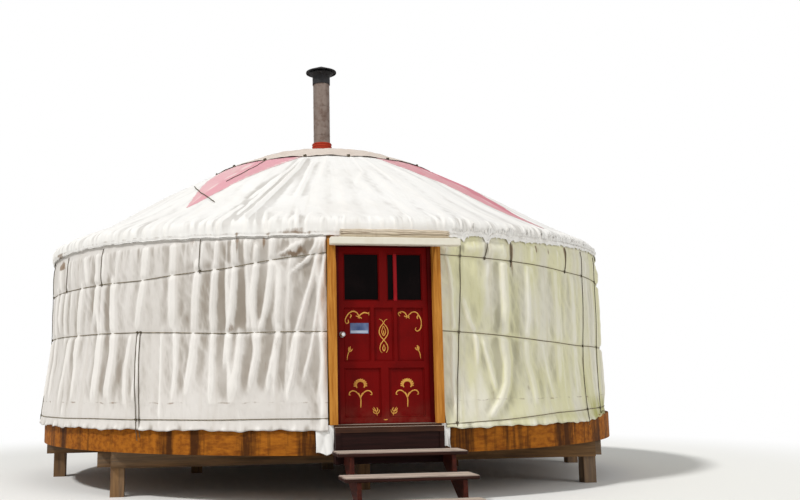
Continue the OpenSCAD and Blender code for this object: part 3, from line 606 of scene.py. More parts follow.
# Wall canvas. Folds are (height, width, [(direction, height above ground), ...]) from the top down.
wall = {
    "top": 2.63, "eave": 2.52, "tucked": (2.50, 2.545), "seam": 0.944, "hemLow": 0.684, "hemHigh": 0.756,
    "perMetre": 105, "rearPerMetre": 40, "rows": 114,       # how close the mesh is
    "leanFrom": 1.75, "leanFront": 0.078, "leanSide": 0.112, "leanRight": 0.026, "flareFrom": 1.4,
    "leanFull": 0.74, "leanTo": (15, 70), "leanEnd": (95, 135),
    "leftFolds": [
        (0.024, 0.020, [(-9.2, 2.36), (-9.8, 2.17), (-10.3, 1.97), (-10.8, 1.79), (-11.4, 1.55),
                        (-12.0, 1.36), (-12.8, 1.18)]),
        (0.034, 0.024, [(-9.6, 2.50), (-10.6, 2.36), (-11.4, 2.13), (-12.4, 1.93), (-13.1, 1.77),
                        (-14.3, 1.55), (-14.9, 1.25)]),
        (0.036, 0.026, [(-10.1, 2.52), (-11.2, 2.40), (-12.1, 2.31), (-13.6, 2.22), (-15.2, 2.21)]),
        (0.022, 0.018, [(-9.4, 2.47), (-9.6, 2.30), (-9.5, 2.05)]),
        (0.038, 0.036, [(-17.8, 2.50), (-17.9, 2.37), (-18.4, 2.01), (-18.9, 1.82), (-19.8, 1.60)]),
        (0.024, 0.050, [(-16.3, 2.22), (-16.7, 1.94), (-17.4, 1.66)]),
        (0.036, 0.030, [(-20.3, 2.44), (-20.6, 2.20), (-20.9, 1.90), (-20.6, 1.60), (-20.3, 1.42),
                        (-21.2, 1.10)]),
        (0.034, 0.026, [(-24.1, 2.52), (-24.1, 2.20), (-24.3, 1.85), (-25.2, 1.60), (-25.4, 1.30)]),
        (0.022, 0.022, [(-10.2, 1.58), (-9.8, 1.41), (-10.0, 1.20), (-10.6, 1.00)]),
        (0.030, 0.028, [(-16.8, 1.62), (-17.5, 1.40), (-18.4, 1.10)]),
        (0.026, 0.024, [(-13.6, 1.60), (-14.1, 1.33), (-15.2, 1.02)]),
        (0.030, 0.045, [(-23.0, 1.62), (-23.4, 1.31), (-23.8, 1.00)]),
        (0.040, 0.060, [(-12.6, 2.46), (-14.6, 2.44), (-16.6, 2.36)]),
        (0.020, 0.018, [(-27.0, 2.52), (-27.4, 2.20), (-28.0, 1.75)]),
        (0.026, 0.030, [(-30.6, 2.30), (-31.0, 1.90), (-31.2, 1.50), (-32.0, 1.05)]),
        (0.030, 0.045, [(-35.0, 2.52), (-35.4, 2.10), (-35.2, 1.70)]),
        (0.024, 0.040, [(-41.0, 2.50), (-41.6, 2.10), (-42.6, 1.70)]),
        (0.022, 0.035, [(-44.0, 1.60), (-44.6, 1.30), (-44.2, 0.95)]),
        (0.026, 0.040, [(-53.5, 2.52), (-53.2, 2.30), (-54.0, 1.80)]),
        (0.024, 0.045, [(-64.0, 1.60), (-64.5, 1.30), (-65.5, 0.95)]),
        (0.026, 0.040, [(-70.0, 2.50), (-69.4, 2.20), (-70.0, 1.75)]),
        (0.030, 0.050, [(-48.9, 2.20), (-48.8, 1.90), (-48.4, 1.40), (-49.0, 1.00)]),
        (0.028, 0.040, [(-58.8, 2.20), (-59.2, 1.90), (-60.4, 1.40)]),
    ],
    "foldShare": {"right": 1.35}, "foldLimit": 0.03,
    "rightFolds": [
        (0.014, 0.022, [(10.4, 2.46), (11.2, 2.10), (11.4, 1.70), (10.9, 1.10), (11.0, 0.78)]),
        (0.020, 0.026, [(13.4, 1.90), (14.3, 1.72), (15.6, 1.58), (15.7, 1.30)]),
        (0.030, 0.052, [(21.6, 2.36), (21.8, 1.80), (21.1, 1.55), (21.6, 1.30), (20.9, 1.06),
                        (19.4, 0.92), (17.2, 0.79)]),
        (0.018, 0.040, [(27.4, 2.32), (27.2, 1.79), (26.2, 1.46), (26.4, 1.30), (27.4, 1.10), (27.6, 0.90)]),
        (0.014, 0.060, [(35.2, 2.30), (35.3, 1.70), (35.1, 1.10)]),
        (0.012, 0.040, [(41.0, 2.28), (41.2, 1.65), (40.6, 0.99)]),
        (0.018, 0.030, [(17.0, 1.50), (18.2, 1.25), (19.0, 1.02)]),
        (0.012, 0.022, [(30.6, 1.50), (31.6, 1.20), (32.4, 0.98)]),
        (0.016, 0.018, [(48.6, 2.45), (49.0, 1.80), (49.2, 1.10)]),
        (0.020, 0.040, [(65.0, 2.45), (64.0, 1.60), (64.0, 0.90)]),
    ],
    # brown stains: direction, height, half width in degrees, half height and strength
    "spots": {
        "left": [(-70, 2.50, 2.0, 0.06, 0.9), (-60.5, 2.42, 0.5, 0.06, 0.6), (-17.0, 1.50, 0.6, 0.10, 0.5),
                 (-12.6, 1.5, 0.35, 0.16, 0.4), (-50, 2.2, 2.5, 0.04, 0.4), (-18.6, 1.28, 0.7, 0.1, 0.35)],
        "right": [(23.8, 2.42, 0.25, 0.09, 1.0), (24.2, 2.1, 0.35, 0.22, 0.45), (39.5, 2.45, 0.3, 0.09, 0.9),
                  (32.4, 1.15, 0.25, 0.14, 0.5), (23.5, 1.16, 0.2, 0.12, 0.5), (30.2, 2.49, 0.2, 0.04, 0.9),
                  (33.5, 2.48, 0.3, 0.03, 0.8), (18.5, 1.0, 1.0, 0.07, 0.4), (26.2, 1.05, 0.5, 0.04, 0.5),
                  (49, 2.45, 0.4, 0.07, 0.8), (45.0, 1.3, 0.25, 0.30, 0.6), (54.8, 1.6, 0.3, 0.5, 0.5)],
    },
    # brown triangles: direction, height of the wide side, half width in degrees, reach up (or down, below 0)
    "wedges": {"left": [(-15.2, 2.348, 1.8, 0.075), (-13.2, 2.368, 1.6, 0.10), (-24.4, 1.628, 0.65, 0.12),
                        (-23.5, 2.53, 0.4, -0.20), (-19.1, 2.52, 0.35, -0.18), (-69, 2.46, 2.0, 0.08)],
               "right": [(23.9, 2.50, 0.5, -0.35), (39.5, 2.52, 0.4, -0.30), (30.2, 2.52, 0.3, -0.07)]},
    # puffs between the strings at the eave: their directions, how far they stand out, height and half height
    "arches": [(13.9, 18.2), (18.7, 23.3)], "archOut": 0.026, "archHeight": 2.44, "archTall": 0.055,
    # small folds and the gathers under the eave: how many a metre and how high
    "strewn": {"left": (5.0, 0.020), "rear": (3.4, 0.013), "right": (2.2, 0.007)},
    "strewnTops": (2.52, 2.50, 2.25, 1.62), "strewnFeet": (2.15, 1.58, 0.98, 0.74),
    "crimps": {"left": (15, 0.0075), "rear": (10, 0.006), "right": (9, 0.005)},
    "crimpReach": (0.08, 0.38), "crimpLean": (-0.12, 0.12), "crimpWidth": (0.009, 0.017),
    # creases all over: seed, length, height and how much they turn from upright
    "creases": (3, 0.19, 0.0035, 0.4), "fineCreases": (4, 0.07, 0.0012, 0.7),
    # how far the girth ropes press the folds flat, and how far the canvas swells between them
    "pinch": {"left": 0.55, "rear": 0.75, "right": 0.9},
    "bulge": {"left": 0.017, "rear": 0.012, "right": 0.011},
}
# Height of each girth rope by direction: it sags and climbs a little on its way round
girthHeights = [
    [(9, 0.725), (20, 0.745), (33, 0.79), (45, 0.81), (120, 0.793), (287, 0.775), (351, 0.793)],
    [(9, 1.62), (20, 1.58), (31, 1.53), (43, 1.50), (60, 1.50), (150, 1.621), (287, 1.67), (318, 1.65),
     (335, 1.61), (351, 1.61)],
    [(9, 2.37), (24, 2.34), (39, 2.30), (60, 2.28), (150, 2.277), (287, 2.18), (318, 2.18), (335, 2.25),
     (345, 2.33), (351, 2.37)],
]
doorEdge = math.degrees(math.asin((yurt["frameHalf"] + 0.0003) / (yurt["wallRadius"] - 0.02)))
sheetEnds = {"right": (doorEdge, doorEdge + 0.35 * (360 - 2 * doorEdge)),
             "left": (-doorEdge - 0.35 * (360 - 2 * doorEdge), -doorEdge)}
sheetEnds["rear"] = (sheetEnds["right"][1], sheetEnds["left"][0] + 360)


def girthAt(k, direction):
    at, height = zip(*girthHeights[k])
    return np.interp(np.mod(direction, 360), at, height)


def eased(x, points, reach=0.06):
    # a polyline with its corners rounded off: values at x of (x, y) points
    at, value = (np.array(v) for v in zip(*sorted(points)))
    return sum(np.interp(x + k * reach, at, value) for k in (-1, -0.5, 0, 0.5, 1)) / 5


def foldRise(u, z, height, width, points):
    crest = eased(z, [(p[1], math.radians(p[0]) * yurt["wallRadius"]) for p in points])
    top, low = points[0][1], points[-1][1]
    held = smooth(z, low - 0.10, low + 0.12) * (1 - smooth(z, top - 0.03, top + 0.08))
    away = (u - crest) / (width * (1 + 0.35 * np.tanh((u - crest) / width)))
    return height * held * np.exp(-np.abs(away) ** 1.7)


def strewnFolds(side, seed):
    # small folds between the listed ones, each over one to three bays
    draw = random.Random(seed)
    first, last = sheetEnds[side]
    density, height = wall["strewn"][side]
    count = int(math.radians(last - first) * yurt["wallRadius"] * density)
    folds = []
    for k in range(count):
        at = first + (k + draw.uniform(0.05, 0.95)) * (last - first) / count
        top = draw.choice(wall["strewnTops"])
        low = draw.choice([v for v in wall["strewnFeet"] if v < top - 0.25])
        sway = draw.uniform(-1, 1)
        middle = (at + sway * 0.6 + draw.uniform(-0.4, 0.4), (top + low) / 2)
        tall, wide = height * draw.uniform(0.35, 1.5), draw.uniform(0.014, 0.042)
        folds.append((tall, wide, [(at, top), middle, (at + sway, low)]))
    return folds


def crumple(u, z, seed, length, height, lean, waves=7):
    # sharp crossing creases, most of them running up and down
    draw = random.Random(seed)
    total = 0
    for _ in range(waves):
        a = draw.gauss(0, lean)
        size = length * draw.uniform(0.6, 1.7)
        along = u * math.cos(a) + z * math.sin(a)
        total = total + np.sin(2 * math.pi * along / size + draw.uniform(0, 6.28))
    return height * (1 - np.abs(total / math.sqrt(waves)))


def crimps(side, u, z):
    # gathers that hang from the eave, each a short ridge that leans a little
    draw = random.Random(5 + len(side))
    density, height = wall["crimps"][side]
    first, last = (math.radians(a) * yurt["wallRadius"] for a in sheetEnds[side])
    count = int((last - first) * density)
    total = 0
    for k in range(count):
        at = first + (k + draw.uniform(0, 1)) * (last - first) / count
        reach, lean = draw.uniform(*wall["crimpReach"]), draw.uniform(*wall["crimpLean"])
        crest = at + lean * (wall["eave"] - z)
        tall, wide = height * draw.uniform(0.4, 1.4), draw.uniform(*wall["crimpWidth"])
        total = total + tall * bell(u - crest, wide) * smooth(z, wall["eave"] - reach, wall["tucked"][0])
    return total


def swelling(side, u, z, girths):
    # the canvas bulges between the girth ropes, more in some places than in others
    total = 0
    for low, high in ((girths[0], girths[1]), (girths[1], girths[2]), (girths[2], wall["eave"] + 0.04)):
        inside = np.clip((z - low) / (high - low), 0, 1)
        panel = 0.75 + 0.35 * wavy(u + 3 * low, 19, ((1.9, 0.6), (0.8, 0.5)))
        total = total + wall["bulge"][side] * np.sin(np.pi * inside) ** 0.8 * panel
    return total


def puffs(direction, z):
    # the two puffs right of the door, between the strings at the eave
    total = 0
    for a, b in wall["arches"]:
        across = np.clip(1 - ((direction - (a + b) / 2) / ((b - a) / 2)) ** 2, 0, 1)
        total = total + wall["archOut"] * across ** 0.6 * bell(z - wall["archHeight"], wall["archTall"])
    return total


def wallRise(side, u, z):
    # how far the canvas stands off its plain cylinder
    direction = np.degrees(u / yurt["wallRadius"])
    girths = [girthAt(k, direction) for k in range(3)]
    total = np.zeros(np.broadcast(u, z).shape)
    for height, width, points in wall.get(side + "Folds", []) + strewnFolds(side, 11 + len(side)):
        total = total + wall["foldShare"].get(side, 1) * foldRise(u, z, height, width, points)
    most = wall["foldLimit"]        # folds that cross don't add up in full
    total = np.where(total > most, most + (total - most) * 0.5, total)
    total = total + crimps(side, u, z)
    total = total + crumple(u, z, *wall["creases"]) * smooth(z, 0.66, 0.8)
    total = total + crumple(u, z, *wall["fineCreases"])
    for k, girth in enumerate(girths):
        near = bell(z - girth, 0.05)
        total = total + 0.0022 * near * np.maximum(0, wavy(u, 50 + k, ((0.075, 0.8), (0.045, 0.6))))
        total = total * (1 - wall["pinch"][side] * bell(z - girth, 0.028))
    total = total + swelling(side, u, z, girths)
    if side == "right":
        total = total + puffs(direction, z)
    total = total + 0.0025 * bell(z - wall["seam"], 0.007)
    return np.maximum(total, 0) * (1 - smooth(z, *wall["tucked"])) + 0.0005


def rightward(direction):
    # 0 at the door and its left, 1 from well right of it round the back
    d = np.mod(direction, 360)
    return smooth(d, 43, 58) * (1 - smooth(d, 236, 250))


def wallOut(direction, z):
    # the canvas leans out over the skirt: gently at the left, late and short at the right
    atLeft = smooth(-direction, *wall["leanTo"]) * (1 - smooth(-direction, *wall["leanEnd"]))
    atLeft = atLeft * (np.abs(direction) <= 180)
    reach = wall["leanFront"] + (wall["leanSide"] - wall["leanFront"]) * atLeft
    full = wall["leanFull"]
    gentle = np.clip((wall["leanFrom"] - z) / (wall["leanFrom"] - full), 0, 1.06) ** 1.7
    late = np.clip((wall["flareFrom"] - z) / (wall["flareFrom"] - full), 0, 1.08) ** 2.2
    late = late * (1 - rightward(direction) * (1 - wall["leanRight"] / wall["leanFront"]))
    share = smooth(-direction, -6, 6)
    share = share * (1 - smooth(-direction, 110, 122))
    return reach * (gentle * share + late * (1 - share))


def canvasRadii(side, u, z):
    direction = np.degrees(u / yurt["wallRadius"])
    return yurt["wallRadius"] + 0.002 + wallOut(direction, z) + wallRise(side, u, z)


def sheetColumns(side):
    # close together where folds are fine, further apart at the back
    first, last = sheetEnds[side]
    near = np.clip(np.array([-100, 100]), first, last)
    parts = []
    for low, high, each in ((first, near[0], wall["rearPerMetre"]), (near[0], near[1], wall["perMetre"]),
                            (near[1], last, wall["rearPerMetre"])):
        length = math.radians(high - low) * yurt["wallRadius"]
        if length > 0.01:
            parts.append(np.linspace(low, high, int(length * each) + 1)[1 if parts else 0:])
    return np.radians(np.concatenate(parts))[None, :]


def wallGrid(side):
    a = sheetColumns(side)
    t = np.linspace(0, 1, wall["rows"] - 2)[:, None]
    u = a * yurt["wallRadius"]
    ragged = wavy(u, 71, ((0.8, 0.006), (0.31, 0.005), (0.13, 0.003)))
    direction = np.degrees(u / yurt["wallRadius"])
    hem = wall["hemLow"] + ragged + (wall["hemHigh"] - wall["hemLow"]) * rightward(direction)
    z = wall["top"] + (hem - wall["top"]) * t
    if side == "right":     # the loose corner past the long tie hangs lower
        z = z - 0.004 * smooth(direction, 45, 46.2) * (1 - smooth(direction, 60, 66)) * smooth(t, 0.9, 1)
    r = canvasRadii(side, u, z)
    r = r + 0.005 * smooth(-z, -0.76, -0.69) * (1 + wavy(u, 91, ((0.35, 0.8), (0.16, 0.6), (0.07, 0.5))))
    floorLine = yurt["floorTop"] + 0.002
    r = np.where(z < floorLine, np.maximum(r, yurt["skirtRadius"] + 0.003), r)
    # the hem is turned under
    z = np.concatenate([z, z[-1:] + 0.001, z[-1:] + 0.024])
    r = np.concatenate([r, r[-1:] - 0.005, r[-1:] - 0.006])
    # keep clear of the entry below the floor
    beside = np.abs(np.sin(a) * r) < yurt["entryHalf"] + 0.004
    z = np.where((z < floorLine) & beside & (np.cos(a) > 0), floorLine, z)
    grid = np.stack([np.sin(a) * r, -np.cos(a) * r, np.broadcast_to(z, r.shape)], -1)
    u = np.broadcast_to(u, r.shape)
    return grid, np.stack([u, z], -1), u, z, r


def hollows(a, r):
    # 0 on crests to 1 in hollows, from each point's radius against the mean around it. The canvas materials
    # use it for painted shade in the hollows and a painted highlight on the crests
    padded = np.pad(r, ((0, 0), (14, 14)), "edge")
    near = sum(padded[:, 14 + k:14 + k + r.shape[1]] for k in (-14, -10, -7, -4, -2, 2, 4, 7, 10, 14)) / 10
    fine = np.clip(1.1 / (np.gradient(a[0]) * yurt["wallRadius"] * wall["perMetre"]), 0, 1)
    return np.clip(0.5 + fine * (near - r) / 0.028, 0, 1)


def wallStains(side, u, z):
    stain = 0.30 * bell(z - wall["hemLow"], 0.05) * (0.5 + 0.5 * wavy(u, 3, ((0.5, 0.5), (0.17, 0.4))))
    stain = stain + 0.45 * bell(z - 2.53, 0.09) * np.clip(wavy(u, 4, ((1.1, 0.5), (0.4, 0.5))), 0, 1)
    alongSeam = np.clip(0.6 + wavy(u, 9, ((0.25, 0.5), (0.9, 0.4))), 0, 1)
    stain = stain + 0.8 * bell(z - wall["seam"], 0.008) * alongSeam
    moss = np.zeros_like(stain)
    here = np.degrees(u / yurt["wallRadius"])
    for direction, height, wide, tall, amount in wall["spots"].get(side, []):
        stain = stain + amount * bell(here - direction, wide) * bell(z - height, tall)
    for direction, height, wide, tall in wall["wedges"].get(side, []):
        across = np.abs(here - direction) / wide
        along = (z - height) / tall + 0.12 * wavy(u, 83, ((0.11, 0.6), (0.04, 0.5)))
        stain = stain + 0.78 * smooth(1.3 - across - along, 0, 0.9) * smooth(along, -0.3, 0.1)
    if side == "right":
        moss = 0.8 * smooth(here, 45.6, 46.4) * (1 - smooth(here, 60, 70)) * smooth(-z, -1.0, -0.84)
        moss = moss + 0.5 * bell(here - 45.2, 0.8) * bell(z - 1.0, 0.22)
        moss = moss + 0.35 * bell(z - 0.75, 0.04) * bell(u - 2.2, 0.9)
    return np.clip(stain, 0, 1), np.clip(moss, 0, 1)


wallNodes = {"left": ("wall_cover_left", leftCanvas), "rear": ("wall_cover_back", rearCanvas),
             "right": ("wall_cover_right", rightCanvas)}
for side, (node, finish) in wallNodes.items():
    grid, uv, u, z, r = wallGrid(side)
    stain, moss = wallStains(side, u, z)
    # hollow carries the painted shade of the folds' hollows and the painted highlight of their crests
    values = {"stain": stain, "moss": moss, "hollow": hollows(sheetColumns(side), r)}
    made = clothObject("wallCanvas_" + side, grid, finish, uv, values)
    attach(made, "yurt")
    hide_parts(node)
print("wall canvas hung")


# Roof canvas: slope, rounded shoulder and the drop over the wall
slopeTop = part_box("roof_cover_front")[1].z
roof = {
    "innerRadius": 0.93, "shoulder": 0.12, "dropRadius": 3.514,
    "overFrame": 0.003,      # how far the canvas lies over the plain cover
    # how close the mesh is, in the front arc and behind it
    "frontArc": 95, "perMetre": 88, "rearPerMetre": 28, "slopeRows": 47, "shoulderRows": 7, "dropRows": 11,
    "swellRadii": [(0.9, 0), (1.45, 1), (2.25, 1), (3.0, 0)], "leftSwell": 0.034,
    "leftSwellAt": (-78, 34), "leftSwellRadii": (2.85, 3.38),
    "poles": 63, "poleSag": 0.004, "sagRadii": (1.2, 2.6),
    "waves": ((8, 0.005), (19, 0.003)), "waveRadii": (1.4, 2.4),
    "crumples": ((6, 0.55, 0.003), (7, 0.17, 0.0012)),      # seed, length and height
    "hemRadius": 3.52, "hemDepth": 0.2,     # the part that hangs over the wall
    # long creases: height, width and the way each runs, as (direction, radius) from the crown down
    "creases": [
        (0.030, 0.028, [(-17.7, 1.60), (-18.2, 2.00), (-20.0, 2.45), (-22.2, 3.02), (-22.7, 3.46)]),
        (0.020, 0.022, [(-19.6, 1.62), (-20.4, 2.00), (-22.0, 2.42), (-24.2, 2.95), (-24.6, 3.30)]),
        (0.018, 0.026, [(-13.6, 1.80), (-14.4, 2.40), (-15.2, 2.82)]),
        (0.014, 0.026, [(-21.5, 2.20), (-25.4, 2.83)]),
        (0.016, 0.026, [(-25.8, 3.05), (-26.8, 3.50)]),
        (0.006, 0.035, [(-8.0, 1.50), (-10.5, 2.30)]),
        (0.005, 0.020, [(3.6, 1.45), (2.8, 2.10), (-1.5, 2.50)]),
        (0.006, 0.030, [(8.0, 1.50), (9.5, 2.40)]),
        (0.008, 0.060, [(15.0, 1.70), (20.0, 2.60), (22.0, 3.30)]),
        (0.008, 0.050, [(-48.0, 2.60), (-52.0, 3.45)]),
    ],
    # small tucks of the drawstring round the eave, and wrinkles that rise from it
    "tucks": {"count": 330, "height": (0.2, 1.0), "width": (0.008, 0.020), "depth": 0.007},
    "wrinkles": {"count": 230, "reach": (0.06, 0.55), "lean": (-0.45, 0.45), "height": (0.002, 0.014),
                 "width": (0.009, 0.022), "foot": 3.47},
    "rust": (-11.8, -18.4, -23.6),      # where the string is drawn tight
    # brown stains: direction, half width in degrees, height, half height and strength
    "spots": [(-14, 2.4, 2.60, 0.04, 0.6), (-71, 2.2, 2.60, 0.05, 0.9)],
}
# The roof canvas's lower edge: higher away from the door, ragged at its right, with two scallops
eave = {"front": 2.535, "side": 2.598, "turn": (14, 60), "uneven": 0.006, "waves": ((52, 0.6), (115, 0.5)),
        "raggedFrom": (11, 13), "raggedTo": (70, 80), "raggedUp": 0.014, "spike": 0.016,
        "spikes": ((420, 0.5), (700, 0.5), (250, 0.4)),
        "scallops": [(13.9, 18.2), (18.7, 23.3)], "scallopUp": 0.028, "cusp": (0.040, 0.35)}


def roofSwell(r):
    return yurt["roofSwell"] * eased(r, roof["swellRadii"], 0.12)


def roofHeight(r):
    return slopeTop - (r - 0.9003) * math.tan(math.radians(yurt["roofPitch"])) + roofSwell(r)


def ringWave(a, seed, pieces):
    # smooth noise round the ring: waves round the whole circle, each with its height
    draw = random.Random(seed)
    return sum(height * np.sin(round(count * draw.uniform(0.85, 1.2)) * a + draw.uniform(0, 6.3))
               for count, height in pieces)


def wrapped(a):
    # an angle in radians, as degrees from -180 to 180
    return np.degrees(np.mod(a + math.pi, 2 * math.pi) - math.pi)


def apartOnEave(a, at):
    return (np.mod(a - at + math.pi, 2 * math.pi) - math.pi) * yurt["wallRadius"]


def roofProfile():
    # rows of (radius, height, lean of the outward normal)
    bend, pitch = roof["shoulder"], math.radians(yurt["roofPitch"])
    centreR = roof["dropRadius"] - bend
    slopeEnd = centreR + bend * math.sin(pitch)
    centreZ = roofHeight(slopeEnd) + roof["overFrame"] - bend * math.cos(pitch)
    steps = np.linspace(0, 1, roof["slopeRows"]) ** 0.8
    radii = roof["innerRadius"] + (slopeEnd - roof["innerRadius"]) * steps
    rows = [(r, roofHeight(r) + roof["overFrame"], pitch) for r in radii]
    for k in range(1, roof["shoulderRows"] + 1):
        lean = pitch + (math.pi / 2 - pitch) * k / roof["shoulderRows"]
        rows.append((centreR + bend * math.sin(lean), centreZ + bend * math.cos(lean), lean))
    return rows


def creaseRise(x, y, height, width, points):
    # nearest distance to a line of points on the slope
    line = np.array([np.array(aim(d)) * r for d, r in points])
    best = np.full(np.broadcast(x, y).shape, 9.0)
    for k in range(len(line) - 1):
        along = line[k + 1] - line[k]
        t = ((x - line[k][0]) * along[0] + (y - line[k][1]) * along[1]) / (along @ along)
        held = np.clip(t, 0, 1)
        best = np.minimum(best, np.hypot(x - line[k][0] - held * along[0], y - line[k][1] - held * along[1]))
    return height * np.exp(-(best / width) ** 1.6)


def wrinkles(a, r, s):
    # each one starts at the eave and leans a little on its way up
    draw = random.Random(23)
    total = 0
    for k in range(s["count"]):
        at = (k + draw.uniform(0, 1)) / s["count"] * 2 * math.pi - math.pi
        reach, lean = draw.uniform(*s["reach"]) ** 1.3, draw.uniform(*s["lean"])
        tall, wide = draw.uniform(*s["height"]), draw.uniform(*s["width"])
        crest = apartOnEave(a, at) + lean * (s["foot"] - r)
        total = total + tall * bell(crest, wide) * smooth(r, s["foot"] - 0.01 - reach, s["foot"])
    return total


def roofRise(a, r):
    # folds of the slope, above its plain cone
    x, y = r * np.sin(a), -r * np.cos(a)
    rise = -roof["poleSag"] * (1 - np.cos(roof["poles"] * a)) / 2 * smooth(r, *roof["sagRadii"])
    rise = rise + ringWave(a, 8, roof["waves"]) * smooth(r, *roof["waveRadii"])
    for height, width, points in roof["creases"]:
        rise = rise + creaseRise(x, y, height, width, points)
    for seed, length, height in roof["crumples"]:
        rise = rise + crumple(x, y, seed, length, height, 1.5)
    middle, spread = roof["leftSwellAt"]
    rise = rise + roof["leftSwell"] * bell(wrapped(a) - middle, spread) * smooth(r, *roof["leftSwellRadii"])
    return rise + wrinkles(a, r, roof["wrinkles"])


def gathers(a):
    # how far the canvas is bunched up by the drawstring's tucks at each direction
    draw = random.Random(41)
    s = roof["tucks"]
    total = np.zeros_like(a)
    for k in range(s["count"]):
        at = (k + draw.uniform(0, 1)) / s["count"] * 2 * math.pi - math.pi
        total = total + draw.uniform(*s["height"]) * bell(apartOnEave(a, at), draw.uniform(*s["width"]))
    return total


def eaveEdge(a, gathered, s):
    # height of the canvas's lower edge
    direction = wrapped(a)
    edge = s["front"] + (s["side"] - s["front"]) * smooth(np.abs(direction), *s["turn"])
    edge = edge + s["uneven"] * ringWave(a, 12, s["waves"]) - s["uneven"] * gathered
    right = smooth(direction, *s["raggedFrom"]) * (1 - smooth(direction, *s["raggedTo"]))
    spikes = np.abs(ringWave(a, 77, s["spikes"])) ** 1.6
    edge = edge - right * s["spike"] * spikes + s["raggedUp"] * right
    deep, wide = s["cusp"]
    for low, high in s["scallops"]:
        middle, half = (low + high) / 2, (high - low) / 2
        inside = np.clip(1 - np.abs((direction - middle) / half), 0, 1)
        cusps = bell(np.abs(direction - middle) - half, wide)
        edge = edge + (s["scallopUp"] * np.sqrt(inside) - deep * cusps)
    return edge


def roofValues(around, radius, height, edge, rises):
    # stains at the eave and under the crown, and how deep each point lies between its neighbours, which the
    # material turns into painted shade in hollows and a painted highlight on crests
    direction = wrapped(around)
    stain = 0.45 * bell(height - edge - 0.04, 0.012)
    stain = stain + 0.25 * smooth(-radius, -1.9, -1.4) * (0.5 + 0.5 * np.sin(around * 9))
    for at in roof["rust"]:
        stain = stain + 0.6 * bell(direction - at, 0.22) * bell(height - edge - 0.02, 0.035)
    for at, wide, up, tall, amount in roof["spots"]:
        stain = stain + amount * bell(direction - at, wide) * bell(height - up, tall)
    # hollows lie lower than the mean of the canvas on both sides
    mean = np.zeros_like(rises)
    for k in (-12, -8, -5, -2, 2, 5, 8, 12):
        mean = mean + np.roll(rises, k, 1) / 8
    fine = 1 - 0.75 * smooth(np.abs(direction), roof["frontArc"] - 6, roof["frontArc"] + 2)
    hollow = np.clip(0.46 + fine * (mean - rises) / 0.012, 0, 1)
    return {"stain": np.clip(stain, 0, 1), "moss": np.zeros_like(stain), "hollow": hollow}


def buildRoof():
    # the slope and shoulder row by row, then the part that hangs over the wall, then its turned hem
    rows = roofProfile()
    near = math.radians(roof["frontArc"])
    frontCount = int(2 * near * yurt["wallRadius"] * roof["perMetre"])
    rearCount = int((math.pi - near) * 2 * yurt["wallRadius"] * roof["rearPerMetre"])
    dense = np.linspace(-near, near, frontCount, endpoint=False)
    rest = np.linspace(near, 2 * math.pi - near, rearCount, endpoint=False)
    a = np.concatenate([dense, rest])[None, :]
    gathered = gathers(a)
    edge = eaveEdge(a, gathered, eave)
    radius, height, cloth, rises = [], [], [], []
    length, last = 0.0, None
    for r, z, lean in rows:
        rise = roofRise(a, np.full_like(a, r)) * (1 - smooth(lean, 1.0, 1.57) * 0.45)
        if last is not None:
            length += math.hypot(r - last[0], z - last[1])
        last = (r, z)
        radius.append(r + rise * math.sin(lean))
        height.append(z + rise * math.cos(lean))
        cloth.append(np.full_like(a, length))
        rises.append(rise)
    top, eaveRadius = height[-1], radius[-1]
    for k in range(1, roof["dropRows"] + 1):
        t = k / roof["dropRows"]
        swell = gathered * roof["tucks"]["depth"] * smooth(t, 0.05, 0.6) * (1 - 0.5 * t)
        swell = swell - 0.004 * bell(t - 0.72, 0.12)
        held = smooth(t, -0.2, 0.9)
        radius.append(eaveRadius * (1 - held) + held * (roof["dropRadius"] + 0.006) + swell)
        height.append(top + (edge - top) * t)
        cloth.append(cloth[len(rows) - 1] + (top - height[-1]))
        rises.append(rises[len(rows) - 1] * (1 - t) + swell)
    for inward, up in ((0.005, 0.001), (0.006, 0.016)):     # the hem is turned under
        radius.append(radius[len(rows) + roof["dropRows"] - 1] - inward)
        height.append(edge + up)
        cloth.append(cloth[-1] + up)
        rises.append(rises[-1])
    radius, height, cloth, rises = (np.concatenate(v) for v in (radius, height, cloth, rises))
    around = np.broadcast_to(a, radius.shape)
    grid = np.stack([np.sin(around) * radius, -np.cos(around) * radius, height], -1)
    uv = np.stack([around * yurt["wallRadius"], cloth], -1)
    return grid, uv, roofValues(around, radius, height, edge, rises)


grid, uv, values = buildRoof()
roofSheet = clothObject("roofCanvas", grid, roofCanvas, uv, values, closed=True)
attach(roofSheet, "yurt")
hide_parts("roof_cover_front", "roof_cover_rear")
onPlan = math.pi * (yurt["wallRadius"] ** 2 - roof["innerRadius"] ** 2)
roofArea = onPlan / math.cos(math.radians(yurt["roofPitch"]))
roofArea = roofArea + 2 * math.pi * roof["hemRadius"] * roof["hemDepth"]
roofGrid = grid


# Frill of bunched canvas that stands up over the eave, right of the door
frill = {"from": 11.8, "to": 61, "perMetre": 120, "rows": 9, "low": 0.012, "high": 0.115, "pleat": 0.026,
         "spikes": 95}


